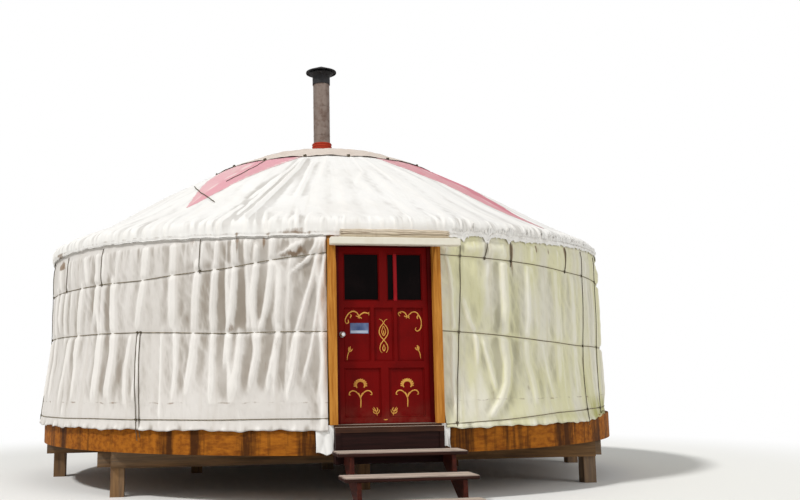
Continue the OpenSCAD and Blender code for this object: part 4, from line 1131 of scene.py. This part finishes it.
def buildFrill(s):
    # it follows the roof canvas: run is the way up along it from the frill's foot
    turned = np.degrees(np.arctan2(roofGrid[0, :, 0], -roofGrid[0, :, 1]))
    order = [k for k in np.argsort(turned) if s["from"] - 1 < turned[k] < s["to"] + 1]
    low = len(roofProfile()) + 4
    under = roofGrid[low - 16:low][:, order][::-1]
    steps = np.linalg.norm(np.diff(under, axis=0), axis=2)
    run = np.concatenate([np.zeros((1, len(order))), np.cumsum(steps, 0)])
    count = int(math.radians(s["to"] - s["from"]) * yurt["wallRadius"] * s["perMetre"])
    at = np.linspace(s["from"], s["to"], count)
    draw = random.Random(52)
    spikes = np.zeros(count)
    for _ in range(s["spikes"]):
        middle, wide = draw.uniform(s["from"], s["to"]), draw.uniform(0.10, 0.40)
        spikes = np.maximum(spikes, draw.uniform(0.2, 1.0) ** 1.4 * (1 - np.abs(at - middle) / wide))
    ends = smooth(at, s["from"], s["from"] + 1.5) * (1 - smooth(at, s["to"] - 8, s["to"]))
    tall = s["low"] + (s["high"] - s["low"]) * spikes * ends
    made = np.zeros((s["rows"], count, 3))
    pleats = np.abs(np.sin(at * 7.3 + 2 * np.sin(at * 1.9))) * 0.7 + 0.3 * np.abs(np.sin(at * 15.1))
    for i in range(s["rows"]):
        t = 1 - i / (s["rows"] - 1)
        for j in range(count):
            column = int(np.argmin(np.abs(turned[order] - at[j])))
            here = np.array([np.interp(tall[j] * t, run[:, column], under[:, column, k]) for k in range(3)])
            out = 0.005 + s["pleat"] * pleats[j] * (0.35 + 0.65 * t)
            x, y = aim(at[j])
            flat = math.hypot(here[0], here[1]) + out * 0.7
            made[i, j] = (x * flat, y * flat, here[2] + out * 0.7)
    across, up = np.meshgrid(np.radians(at) * yurt["wallRadius"], np.linspace(0, 0.1, s["rows"]))
    return made, np.stack([across, up], -1), np.broadcast_to(1 - pleats, (s["rows"], count))


grid, uv, pleats = buildFrill(frill)
# hollow paints shade into the pleats and a highlight onto their tops
values = {"stain": 0.1 + 0 * pleats, "moss": 0 * pleats, "hollow": 0.3 + 0.75 * pleats}
frillSheet = clothObject("eaveFrill", grid, roofCanvas, uv, values)
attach(frillSheet, "yurt")
print("roof canvas stretched")


# Crown cover with its knotted edge
flueLow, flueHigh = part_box("flue_pipe")
flueAxis = (flueLow + flueHigh) / 2
crown = {"radius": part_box("crown_cover")[1].x + 0.15, "ringRadius": 0.90, "overRoof": 0.0125,
         "columns": 320, "rows": 40, "flueHole": 0.14, "knots": 18, "firstKnot": -38,
         "scallop": 0.035, "spread": 0.007, "waves": ((9, 0.004), (26, 0.003)), "knotSize": (0.034, 0.0075)}


def crownHeight(r):
    # flat on the ring, then down onto the roof canvas
    edge = crown["ringRadius"]
    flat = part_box("crown_cover")[1].z - 0.022 * smooth(r, 0.55, edge)
    sloping = roofHeight(r) + crown["overRoof"] + 0.012 * (1 - smooth(r, edge, edge + 0.2))
    return np.where(r < edge, flat, np.minimum(flat, sloping))


def crownRise(a, r):
    spread = np.abs(np.sin(crown["knots"] / 2 * (a - math.radians(crown["firstKnot"]))))
    edge = smooth(r, crown["radius"] - 0.35, crown["radius"])
    rise = crown["spread"] * spread * edge + np.abs(ringWave(a, 17, crown["waves"])) * smooth(r, 0.3, 1.0)
    return rise + crumple(r * np.sin(a), r * np.cos(a), 18, 0.22, 0.002, 1.5)


def buildCrown():
    a = np.linspace(-math.pi, math.pi, crown["columns"], endpoint=False)[None, :]
    scallop = crown["scallop"] * np.abs(np.sin(crown["knots"] / 2 * (a - math.radians(crown["firstKnot"]))))
    t = np.linspace(0.02, 1, crown["rows"])[:, None]
    r = t * (crown["radius"] - scallop * t ** 6)
    z = crownHeight(r) + crownRise(a, r) + 0.003 * bell(t - 0.985, 0.012)
    grid = np.stack([np.sin(a) * r, -np.cos(a) * r, z], -1)
    uv = np.stack([np.sin(a) * r, np.cos(a) * r], -1)
    stain = 0.25 * smooth(t, 0.8, 1.0) + 0 * z
    return grid, uv, {"stain": stain, "moss": np.zeros_like(z)}


def overFlue(middle):
    return np.hypot(middle[:, 0] - flueAxis.x, middle[:, 1] - flueAxis.y) < crown["flueHole"]


grid, uv, values = buildCrown()
crownSheet = clothObject("crownCanvas", grid, crownCanvas, uv, values, closed=True, drop=overFlue)
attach(crownSheet, "yurt")
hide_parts("crown_cover")


# Faded pink rays sewn to the roof round the crown: directions of the base, direction and radius of the tip
rayShape = {"baseRadius": 1.41, "bow": 0.10, "blunt": 0.985, "lift": 0.004, "rows": 100, "columns": 41,
            "flatShare": 0.51}
rays = [{"base": (-72, -17), "tip": (-39.6, 2.98), "finish": pinkFaded},
        {"base": (14, 66), "tip": (34.6, 3.46), "finish": pinkCanvas},
        {"base": (112, 160), "tip": (139, 3.1), "finish": pinkCanvas},
        {"base": (200, 248), "tip": (221, 3.1), "finish": pinkFaded}]


def buildRay(ray, shape):
    s = np.linspace(0, 1, shape["rows"])[:, None]
    t = np.linspace(0, 1, shape["columns"])[None, :]
    start, end = (np.array(aim(d)) * shape["baseRadius"] for d in ray["base"])
    tip = np.array(aim(ray["tip"][0])) * ray["tip"][1]
    uneven = 0.012 * wavy(s * 3, 5, ((0.3, 0.6), (0.11, 0.5)))
    left = [start[k] + (tip[k] - start[k]) * s * shape["blunt"] for k in (0, 1)]
    right = [end[k] + (tip[k] - end[k]) * s * shape["blunt"] for k in (0, 1)]
    x = left[0] + (right[0] - left[0]) * t + uneven * (t - 0.5)
    y = left[1] + (right[1] - left[1]) * t
    r, a = np.hypot(x, y), np.arctan2(x, -y)
    r = r * (1 + shape["bow"] * s * (1 - s) * (1 - 0.5 * np.sin(np.pi * t)))
    x, y = r * np.sin(a), -r * np.cos(a)
    folds = roofRise(a, r) / math.cos(math.radians(yurt["roofPitch"]))
    z = roofHeight(r) + roof["overFrame"] + folds + shape["lift"]
    # worn pale along a streak, down one half and at the sewn edges
    streak = 0.5 + 0.6 * bell(t - 0.42 - 0.06 * np.sin(5 * s), 0.05) * (0.6 + 0.4 * np.sin(31 * s))
    worn = smooth(np.abs(t - 0.5) + 0.03 * wavy(s * 3, 8, ((0.2, 0.6), (0.07, 0.6))), 0.44, 0.5)
    pale = 0.5 + 0.18 * (1 - smooth(t, 0.36, 0.44)) + 0 * s
    worn = np.clip(np.maximum(np.maximum(streak, pale), 0.5 + 0.5 * worn), 0, 1)
    return np.stack([x, y, z], -1), np.stack([x, y], -1), worn


for k, ray in enumerate(rays):
    grid, uv, worn = buildRay(ray, rayShape)
    plain = np.zeros(grid.shape[:2])
    values = {"stain": plain, "moss": plain, "hollow": worn}
    made = clothObject(f"pinkRay_{k + 1}", grid, ray["finish"], uv, values, thickness=0.0015)
    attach(made, "yurt")
print("crown cover and rays laid")


# Ropes: three girths, upright ties and their knots. Ties are (top, height there, foot, height there).
ropes = {
    "tieRadius": 0.004,
    "ties": [(13.2, 2.53, 10.9, 0.70), (46.8, 2.57, 42.9, 0.64), (57.4, 2.58, 52.5, 0.75)]
    + [(way, 2.58, way, 0.70) for way in (100, 145, 190, 235, 280)]
    + [(317.6, 1.66, 319.4, 0.58), (318.3, 1.66, 320.0, 0.61)],
    "shortTies": [(18.6, 2.55, 17.9, 2.35), (23.8, 2.55, 23.5, 2.28), (39.7, 2.56, 38.9, 2.28),
                  (-30, 2.56, -30, 2.21), (-52, 2.57, -52, 2.17), (-66, 2.57, -66, 2.18),
                  (70, 2.57, 70, 2.28), (120, 2.57, 120, 2.27), (160, 2.57, 160, 2.27),
                  (205, 2.57, 205, 2.27), (255, 2.57, 255, 2.24)],
    "tieBend": 1.7,         # a tie bends more towards its foot
    "knotSize": (0.026, 0.0045), "knotOut": 0.010, "sagWaves": ((2.3, 0.7), (0.9, 0.4)),
    "hung": {"left": 0.25, "rear": 0.6, "right": 1.0},      # how far each girth lies outside the folds
}


def sideOf(direction):
    d = (direction + 180) % 360 - 180
    if abs(d) <= sheetEnds["right"][1]:
        return "right" if d > 0 else "left"
    return "rear"


def canvasRadius(direction, z):
    side = sideOf(direction)
    d = direction % 360 if side == "rear" else (direction + 180) % 360 - 180
    u = np.array([[math.radians(d) * yurt["wallRadius"]]])
    return float(canvasRadii(side, u, np.array([[z]]))[0, 0])


def girthLine(k):
    # follows the canvas from one jamb round to the other, cutting a little into the folds that hang over it
    line = []
    for side in ("right", "rear", "left"):
        first, last = (math.radians(a) for a in sheetEnds[side])
        a = np.linspace(first, last, int((last - first) * yurt["wallRadius"] / 0.02))
        u = a * yurt["wallRadius"]
        low = girthAt(k, np.degrees(a)) + 0.003 * wavy(u, 61, ropes["sagWaves"])
        r = canvasRadii(side, u, low)
        flat = np.convolve(np.pad(r, 8, "edge"), np.ones(17) / 17, "valid")
        share = ropes["hung"][side]
        r = flat * (1 - share) + np.maximum(r, flat) * share + yurt["ropeRadius"] * 0.8
        line.extend(zip(np.sin(a) * r, -np.cos(a) * r, low))
    line = np.array(line)
    step = np.linalg.norm(np.diff(line, axis=0), axis=1) > 0.004
    return line[np.concatenate([[True], step])]


def tieLine(start, top, end, low):
    z = np.linspace(top, low, int((top - low) / 0.02) + 2)
    line = []
    for k, height in enumerate(z):
        direction = start + (end - start) * (k / (len(z) - 1)) ** ropes["tieBend"]
        over = sum(float(bell(height - girthAt(g, direction), 0.02)) for g in range(3))
        r = canvasRadius(direction, float(height)) + ropes["tieRadius"] + over * 1.6 * yurt["ropeRadius"]
        x, y = aim(direction + 0.02 * math.sin(0.35 * k))
        line.append((x, y, height, r))
    line = np.array(line)
    for _ in range(60):      # pulled straight over the crests
        pulled = np.convolve(np.pad(line[:, 3], 1, "edge"), (0.5, 0, 0.5), "valid")
        line[1:-1, 3] = np.maximum(line[1:-1, 3], pulled[1:-1])
    return np.stack([line[:, 0] * line[:, 3], line[:, 1] * line[:, 3], line[:, 2]], 1)


def knotParts(ties):
    parts = []
    for k, (start, top, end, low) in enumerate(ties):
        for g in range(3):
            height = float(girthAt(g, start))
            if low - 0.03 <= height <= top:
                direction = start + (end - start) * ((top - height) / (top - low)) ** ropes["tieBend"]
                x, y = aim(direction)
                r = canvasRadius(direction, height) + ropes["knotOut"]
                one = knot(*ropes["knotSize"], k)
                parts.append(placed(one, (x * r, y * r, height), faceOut(direction)))
    return parts


girthParts = [tube(girthLine(k), yurt["ropeRadius"], 8) for k in range(3)]
girths = partsObject("girthRopes", girthParts, girthCord, True)
allTies = ropes["ties"] + ropes["shortTies"]
tieParts = [tube(tieLine(*tie), ropes["tieRadius"], 7) for tie in allTies] + knotParts(allTies)
ties = partsObject("uprightTies", tieParts, dullCord, True)
for made, node in ((girths, "girth_ropes"), (ties, "tie_ropes")):
    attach(made, "yurt")
    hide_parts(node)


def onRoof(direction, r, lift):
    a = math.radians(direction)
    x, y = aim(direction)
    pitch = math.cos(math.radians(yurt["roofPitch"]))
    z = float(roofHeight(r)) + roof["overFrame"] + float(roofRise(np.array([a]), np.array([r]))[0]) / pitch
    return x * r, y * r, z + lift


def roofLine(points, lift, radius):
    # a cord over the slope through (direction, radius) points
    d, r = (np.array(v) for v in zip(*points))
    t = np.linspace(0, len(points) - 1, 40)
    k = np.arange(len(points))
    return tube([onRoof(float(np.interp(v, k, d)), float(np.interp(v, k, r)), lift) for v in t], radius, 7)


# The crown's knots, two loose cords over the left ray, each (direction, radius), and the eave's drawstring
cords = {
    "long": [(-52, 2.27), (-46, 2.44), (-41, 2.60), (-37, 2.74), (-33.4, 2.90)],
    "short": [(-37.4, 1.53), (-37.2, 1.73), (-37.6, 1.88), (-38.0, 2.10), (-38.8, 2.29)],
    "stringRow": 9, "stringEnd": -9.5, "stringRadius": 0.0019,
}


def drawstring(s):
    # runs in the tucks of the roof canvas, left of the door
    line = roofGrid[len(roofProfile()) + s["stringRow"]][::3]
    line = line[np.arctan2(line[:, 0], -line[:, 1]) < math.radians(s["stringEnd"])]
    outward = (1 + 0.0025 / np.hypot(line[:, 0], line[:, 1]))[:, None]
    line = line * outward * (1, 1, 0) + line * (0, 0, 1)
    return line[np.argsort(np.arctan2(line[:, 0], -line[:, 1]))]


crownParts = []
for k in range(crown["knots"]):
    direction = crown["firstKnot"] + k * 360 / crown["knots"]
    x, y, z = onRoof(direction, crown["radius"] - 0.014, 0.015)
    crownParts.append(placed(knot(*crown["knotSize"], k), (x, y, z), faceOut(direction)))
crownParts.append(roofLine(cords["long"], 0.012, 0.0055))
crownParts.append(roofLine(cords["short"], 0.010, 0.004))
crownParts.append(tube(drawstring(cords), cords["stringRadius"], 5))
crownKnots = partsObject("crownKnots", crownParts, dullCord, True)
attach(crownKnots, "yurt")
print("ropes tied")


# Floor boards between the entry and the skirt
floorPlan = {"boardWidth": 0.14, "gap": 0.003, "radius": 3.5547, "front": 3.41}


def floorParts(s):
    top, low = yurt["floorTop"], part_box("floor_deck")[0].z
    parts = []
    count = int(2 * s["radius"] / s["boardWidth"])
    for k in range(count + 1):
        x0 = -s["radius"] + k * s["boardWidth"] + s["gap"] / 2
        x1 = min(x0 + s["boardWidth"] - s["gap"], s["radius"])
        reach = s["radius"] ** 2 - max(abs(x0), abs(x1)) ** 2
        if reach <= 0.04:
            continue
        half = math.sqrt(reach)
        inEntry = abs((x0 + x1) / 2) < yurt["entryHalf"]
        parts.append(board((x0, -s["front"] if inEntry else -half, low), (x1, half, top), 0.002))
    return parts


boards = partsObject("floorBoards", floorParts(floorPlan), floorWood)
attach(boards, "yurt")
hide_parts("floor_deck")


# Treads of two planks each
stair = {"treads": 3, "thickness": 0.038, "planks": 2, "gap": 0.006, "chamfer": 0.008}


def treadParts(s):
    low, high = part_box("stair_treads")
    run = (high.y - low.y) / s["treads"]
    rise = (high.z - low.z - s["thickness"]) / (s["treads"] - 1)
    parts = []
    for k in range(s["treads"]):
        top = high.z - k * rise
        rear = high.y - k * run
        deep = (run - s["gap"] * (s["planks"] - 1)) / s["planks"]
        for j in range(s["planks"]):
            y = rear - 0.0005 - j * (deep + s["gap"])
            front = y - deep + 0.0005
            parts.append(board((low.x, front, top - s["thickness"]), (high.x, y, top), s["chamfer"]))
    return parts


treads = partsObject("stairTreads", treadParts(stair), treadWood)
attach(treads, "yurt")
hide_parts("stair_treads")
print("floor and stair laid")


# Lintel box with chamfered edges, and the rolled flap above it
lintelLow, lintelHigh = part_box("lintel")
lintel = partsObject("lintelBox", [board(lintelLow, lintelHigh, 0.006)], creamPaint)
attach(lintel, "yurt")
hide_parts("lintel")

flap = {"turns": 4.6, "inner": 0.010, "rows": 150, "columns": 72, "creases": (-0.75, -0.2, 0.35),
        "creaseDepth": 0.16, "wander": 0.10, "lumps": 0.06, "endsFrom": (0.36, 0.53), "endsIn": 0.006,
        "frayFrom": (0.48, 0.53), "fray": (0.012, 0.008)}


def buildFlap(s):
    # a spiral of canvas, wound tight and a little lumpy
    low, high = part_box("door_flap_roll")
    middle = (low + high) / 2
    outer = (high.z - low.z) / 2 - 0.001
    t = np.linspace(0, 1, s["rows"])[:, None]
    x = np.linspace(low.x, high.x, s["columns"])[None, :]
    angle = t * s["turns"] * 2 * math.pi + 2.2
    r = s["inner"] + (outer - s["inner"]) * t
    creased = 0
    for n, place in enumerate(s["creases"]):
        wander = s["wander"] * wavy(x, 31 + n, ((0.6, 0.7), (0.17, 0.5)))
        creased = creased + bell(np.mod(angle - place + wander, 6.283) - 3.1416, 0.13)
    lumps = 1 + s["lumps"] * wavy(x, 15, ((0.5, 0.6), (0.21, 0.5))) * t
    r = r * (1 - s["creaseDepth"] * creased * smooth(t, 0.5, 0.8)) * lumps
    aside = np.abs(x - middle.x)
    r = np.minimum(r, outer - 0.0005) - s["endsIn"] * smooth(aside, *s["endsFrom"])
    frayed = s["fray"][0] * np.sin(9 * angle) + s["fray"][1] * np.sin(23 * angle)
    x = x + frayed * smooth(aside, *s["frayFrom"]) * np.sign(middle.x - x)
    y = middle.y + r * np.cos(angle)
    z = middle.z + r * np.sin(angle)
    grid = np.stack([np.broadcast_to(x, r.shape), y, z], -1)
    run = np.cumsum(np.concatenate([[0], np.linalg.norm(np.diff(grid[:, 0, 1:], axis=0), axis=1)]))
    uv = np.stack([np.broadcast_to(x, r.shape), np.broadcast_to(run[:, None], r.shape)], -1)
    return grid, uv, float(run[-1]), high.x - low.x, np.clip(0.45 + 0.6 * creased, 0, 1)


grid, uv, flapLength, flapWidth, creased = buildFlap(flap)
plain = np.zeros(grid.shape[:2])
# hollow paints shade into the creases of the roll
values = {"stain": plain + 0.15, "moss": plain, "hollow": creased}
roll = clothObject("doorFlapRoll", grid, flapCanvas, uv, values, thickness=0.002)
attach(roll, "yurt")
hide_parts("door_flap_roll")


# Loose ends of the wall canvas beside the entry
hemEnds = {"hemScrapLeft": {"x": (-0.685, -0.520), "low": 0.457, "bow": 0.020, "sway": 1.3},
           "hemScrapRight": {"x": (0.522, 0.612), "low": 0.500, "bow": 0.016, "sway": 3.3}}
scrapMesh = {"rows": 34, "columns": 20}


def buildScrap(s):
    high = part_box("hem_flaps")[1]
    t = np.linspace(0, 1, scrapMesh["rows"])[:, None]
    q = np.linspace(0, 1, scrapMesh["columns"])[None, :]
    x0, x1 = s["x"]
    x = x0 + (x1 - x0) * (q + (0.12 * np.sin(2.2 * t + s["sway"]) + 0.06 * np.sin(7 * t)) * (q - 0.2) * t)
    z = high.z - 0.002 - (high.z - s["low"]) * t * (1 - 0.10 * np.abs(np.sin(3.1 * q + s["sway"])))
    skirt = -np.sqrt(yurt["skirtRadius"] ** 2 - x ** 2)
    fold = np.abs(np.sin(2.7 * q + 1.2 * t + s["sway"])) + 0.5 * np.abs(np.sin(6.1 * q - 2 * t + s["sway"]))
    y = skirt - 0.006 - s["bow"] * fold * (0.25 + 0.75 * t)
    grid = np.stack([x, y, z], -1)
    return grid, np.stack([x, z], -1)


for name, s in hemEnds.items():
    grid, uv = buildScrap(s)
    plain = np.zeros(grid.shape[:2])
    made = clothObject(name, grid, scrapCanvas, uv, {"stain": plain + 0.05, "moss": plain}, thickness=0.002)
    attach(made, "yurt")
    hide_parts("hem_flaps")
print("door flap and loose ends made")


# Door leaf: mouldings, a painted highlight bar in the right pane and gold ornaments. Places are from
# the leaf's middle and its foot, and depths are along y.
door = {
    "width": 0.9, "stile": 0.058, "mullion": 0.076, "midPanel": 0.194, "barStile": 0.034,
    "lowerRow": (0.058, 0.520), "upperRow": (0.586, 1.100), "lightRow": (1.166, 1.630),
    "face": -3.454, "innerFace": -3.41, "panelFace": -3.439, "lightDepth": 0.0205, "panelDepth": 0.0155,
    "bead": 0.010, "relief": 0.0012,
    "paleRedBar": {"x": (0.104, 0.140), "y": (-3.4525, -3.4342)},
    "sticker": {"x": (-0.330, -0.148), "y": (-3.4396, -3.4389), "z": (0.850, 0.952)},
    "stickerBand": {"x": (-0.325, -0.155), "y": (-3.4399, -3.4394), "z": (0.855, 0.880)},
}
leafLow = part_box("door_leaf")[0]


def doorFields(s):
    inner = s["width"] - 2 * s["stile"]
    half = (inner - s["mullion"]) / 2
    edge = -s["width"] / 2 + s["stile"]
    sidePanel = (inner - s["midPanel"]) / 2 - s["barStile"]
    rows = []
    for k in (0, 1):
        x = edge + k * (half + s["mullion"])
        rows.append((x, x + half, *s["lowerRow"], False))
        rows.append((x, x + half, *s["lightRow"], True))
    for x, w in ((edge, sidePanel), (-s["midPanel"] / 2, s["midPanel"]), (-edge - sidePanel, sidePanel)):
        rows.append((x, x + w, *s["upperRow"], False))
    return rows


def beadParts(s):
    # a quarter round along each side of every field, on the outer and inner faces
    parts = []
    b = s["bead"]
    for x0, x1, z0, z1, light in doorFields(s):
        depth = s["lightDepth"] if light else s["panelDepth"]
        sides = [(x0, x0 + b, z0, z1), (x1 - b, x1, z0, z1), (x0 + b, x1 - b, z0, z0 + b),
                 (x0 + b, x1 - b, z1 - b, z1)]
        for face, way in ((s["face"] + 0.0005, 1), (s["innerFace"] - 0.0005, -1)):
            for left, right, low, high in sides:
                parts.append(board((left, face + way * 0.002, low + leafLow.z),
                                   (right, face + way * (depth - 0.0005), high + leafLow.z), b * 0.38))
    return parts


beads = partsObject("doorBeads", beadParts(door), redPaint)
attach(beads, "door")


def plate(x, y, z, chamfer):
    # a board on the leaf, from its ranges of places
    return board((x[0], y[0], leafLow.z + z[0]), (x[1], y[1], leafLow.z + z[1]), chamfer)


# this bar is a painted highlight: a strip of lighter red than the door's paint, standing in the right pane
bar = partsObject("paleRedBar", [plate(*door["paleRedBar"].values(), door["lightRow"], 0.004)], brightRed)
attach(bar, "door")


def stroke(points, width, steps=22):
    # a brush stroke on the leaf: a flat ribbon through the points, thin at both ends
    p = np.asarray(points, float)
    t = np.linspace(0, len(p) - 1, steps)
    line = np.empty((steps, 2))
    for k, v in enumerate(t):
        i = min(int(v), len(p) - 2)
        f = v - i
        a, b, c, d = p[max(i - 1, 0)], p[i], p[i + 1], p[min(i + 2, len(p) - 1)]
        bend = (2 * a - 5 * b + 4 * c - d) * f * f + (3 * b - a - 3 * c + d) * f ** 3
        line[k] = 0.5 * (2 * b + (c - a) * f + bend)
    along = np.gradient(line, axis=0)
    along /= np.linalg.norm(along, axis=1)[:, None] + 1e-9
    across = np.stack([-along[:, 1], along[:, 0]], 1)
    s = np.linspace(0, 1, steps)
    half = width / 2 * (0.25 + 0.75 * np.sin(np.pi * np.clip(s * 0.94 + 0.03, 0, 1)) ** 0.7)
    return line, across, half


def strokePart(points, width, face):
    line, across, half = stroke(points, width)
    rim, crownY = face - 0.0002, face - door["relief"]
    rows = []
    for k in range(len(line)):
        for side, y in ((-1, rim), (-0.5, crownY), (0.5, crownY), (1, rim)):
            x, z = line[k] + across[k] * half[k] * side
            rows.append((x, y, leafLow.z + z))
    faces = []
    for k in range(len(line) - 1):
        for j in range(3):
            faces.append((4 * k + j, 4 * k + j + 1, 4 * k + 5 + j, 4 * k + 4 + j))
        faces.append((4 * k + 3, 4 * k, 4 * k + 4, 4 * k + 7))
    faces.append((0, 1, 2, 3)[::-1])
    end = 4 * (len(line) - 1)
    faces.append((end, end + 1, end + 2, end + 3))
    return np.array(rows), faces


def mirrored(points, x):
    return [(2 * x - px, pz) for px, pz in points]


def scrolls():
    # corner scrolls: two arches that meet, with a leaf between them and a hanging tail
    left = [[(-0.366, 0.945), (-0.379, 0.975), (-0.366, 1.010), (-0.338, 1.048), (-0.298, 1.066),
             (-0.262, 1.052), (-0.243, 1.020), (-0.236, 0.992)],
            [(-0.366, 0.945), (-0.346, 0.958), (-0.350, 0.984)],
            [(-0.252, 0.996), (-0.228, 1.030), (-0.190, 1.052), (-0.150, 1.046), (-0.136, 1.062)],
            [(-0.330, 1.000), (-0.318, 1.022), (-0.326, 1.036)],
            [(-0.272, 1.020), (-0.238, 1.010), (-0.212, 0.996)],
            [(-0.150, 1.046), (-0.138, 1.036), (-0.148, 1.028)]]
    right = [[(0.165, 1.018), (0.150, 1.040), (0.158, 1.054), (0.178, 1.044)],
             [(0.158, 1.054), (0.186, 1.062), (0.216, 1.050), (0.238, 1.016), (0.262, 0.996)],
             [(0.226, 0.994), (0.250, 1.024), (0.286, 1.056), (0.326, 1.058), (0.352, 1.030), (0.376, 0.985),
              (0.380, 0.935), (0.366, 0.892), (0.336, 0.872), (0.316, 0.890), (0.328, 0.908)],
             [(0.352, 1.030), (0.338, 1.010), (0.344, 0.990)],
             [(0.206, 1.020), (0.236, 1.010), (0.262, 1.014)]]
    return left + right


def lozenge():
    # two interlaced loops with a drop in each
    strand = [(-0.040, 0.990), (-0.016, 0.978), (0.004, 0.946), (0.032, 0.912), (0.045, 0.868),
              (0.032, 0.826), (0.0, 0.788), (-0.030, 0.748), (-0.040, 0.712), (-0.034, 0.682),
              (-0.018, 0.664)]
    drop = [(0.0, 0.926), (0.016, 0.886), (0.018, 0.858), (0.0, 0.830), (-0.018, 0.858), (-0.016, 0.886),
            (0.0, 0.926)]
    low = [(0.0, 0.744), (0.012, 0.708), (0.0, 0.682), (-0.012, 0.708), (0.0, 0.744)]
    return [strand, mirrored(strand, 0), drop, low, [(0.0, 0.880), (0.0, 0.846)]]


def flower(x, top):
    # a horseshoe of petals over two volutes and a stem
    def onArch(a, across, up):
        return x + across * math.cos(a), top - 0.056 + up * math.sin(a)

    arch = [onArch(a, 0.044, 0.040) for a in np.linspace(-0.75, math.pi + 0.75, 15)]
    turns = np.linspace(-0.2, math.pi + 0.2, 11)
    petals = [[onArch(a, 0.046, 0.042), onArch(a, 0.067, 0.058)] for a in turns]
    volute = [(x + 0.002, top - 0.186), (x + 0.016, top - 0.152), (x + 0.046, top - 0.120),
              (x + 0.080, top - 0.112), (x + 0.106, top - 0.128), (x + 0.110, top - 0.150),
              (x + 0.094, top - 0.150)]
    heart = [(x, top - 0.168), (x + 0.014, top - 0.146), (x + 0.022, top - 0.130)]
    stem = [(x, top - 0.160), (x + 0.003, top - 0.215), (x, top - 0.272)]
    return arch, [volute, mirrored(volute, x), heart, mirrored(heart, x), stem], petals


def turned(strokes, x, z, way):
    # strokes drawn round a middle, moved to their place and faced left or right
    return [[(x + way * px, z + pz) for px, pz in points] for points in strokes]


def sprig(x, z, way):
    # a feathered head on a long stem
    return turned([[(0.012, -0.075), (0.006, -0.030), (-0.010, 0.010), (-0.026, 0.034)],
                   [(-0.006, 0.004), (-0.030, 0.014), (-0.042, 0.034)],
                   [(-0.010, 0.012), (-0.018, 0.040), (-0.022, 0.056)],
                   [(-0.004, 0.008), (-0.004, 0.032), (-0.010, 0.050)]], x, z, way)


def spray(x, z, way):
    return turned([[(0, -0.040), (0.010, 0), (0.034, 0.040)],
                   [(0.004, -0.022), (0.030, -0.012), (0.040, 0.006)],
                   [(0.002, -0.026), (-0.018, -0.004), (-0.022, 0.018)],
                   [(0.008, -0.004), (-0.006, 0.018), (0.004, 0.038)],
                   [(0.012, 0.002), (0.032, 0.012), (0.044, 0.030)]], x, z, way)


def ornamentParts():
    # strokes with the width of the brush
    strokes = [(points, 0.013) for points in scrolls()]
    strokes += [(points, 0.010) for points in lozenge() + sprig(-0.352, 0.672, -1) + sprig(0.352, 0.682, 1)]
    for x in (-0.238, 0.222):
        arch, lines, petals = flower(x, 0.418)
        strokes.append((arch, 0.028))
        strokes += [(points, 0.012) for points in lines]
        strokes += [(points, 0.015) for points in petals]
    strokes += [(points, 0.010) for points in spray(-0.078, 0.108, -1) + spray(0.078, 0.108, 1)]
    parts = [strokePart(points, width, door["panelFace"]) for points, width in strokes]
    # a small curl on the bottom rail
    parts.append(strokePart([(-0.02, 0.034), (0.0, 0.030), (0.02, 0.034)], 0.010, door["face"]))
    return parts


gold = partsObject("goldOrnaments", ornamentParts(), goldPaint, True)
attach(gold, "door")
sticker = partsObject("plainSticker", [plate(*door["sticker"].values(), 0.0003)], stickerPaint)
band = partsObject("stickerBand", [plate(*door["stickerBand"].values(), 0.0002)], stickerPale)
for made in (sticker, band):
    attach(made, "door")
print("door dressed")


# Flue: beads where its sections meet, and the rings of the boot
flue = {"beadRadius": 0.1095, "beadThick": 0.003, "beads": (4.40, 4.80),
        "ringRadius": 0.127, "ringThick": 0.006, "ringDrops": (0.012, 0.045, 0.08, 0.115)}


def flueRing(radius, height, thick):
    turns = np.linspace(0, 2 * math.pi, 64, endpoint=False)
    line = [(flueAxis.x + radius * math.cos(a), flueAxis.y + radius * math.sin(a), height) for a in turns]
    return tube(line, thick, 8, True)


rings = [flueRing(flue["beadRadius"], z, flue["beadThick"]) for z in flue["beads"]]
beadsOnFlue = partsObject("flueBeads", rings, flueSteel, True)
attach(beadsOnFlue, "yurt")
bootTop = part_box("flue_boot")[1].z
rings = [flueRing(flue["ringRadius"], bootTop - drop, flue["ringThick"]) for drop in flue["ringDrops"]]
bootRings = partsObject("bootRings", rings, redRubber, True)
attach(bootRings, "yurt")
print("flue dressed")

# Floor of the studio
size = studio["floorSize"]
corners = [(-size, -size, 0), (size, -size, 0), (size, size, 0), (-size, size, 0)]
ground = meshObject("ground", corners, [(0, 1, 2, 3)], floorMaterial(studio))
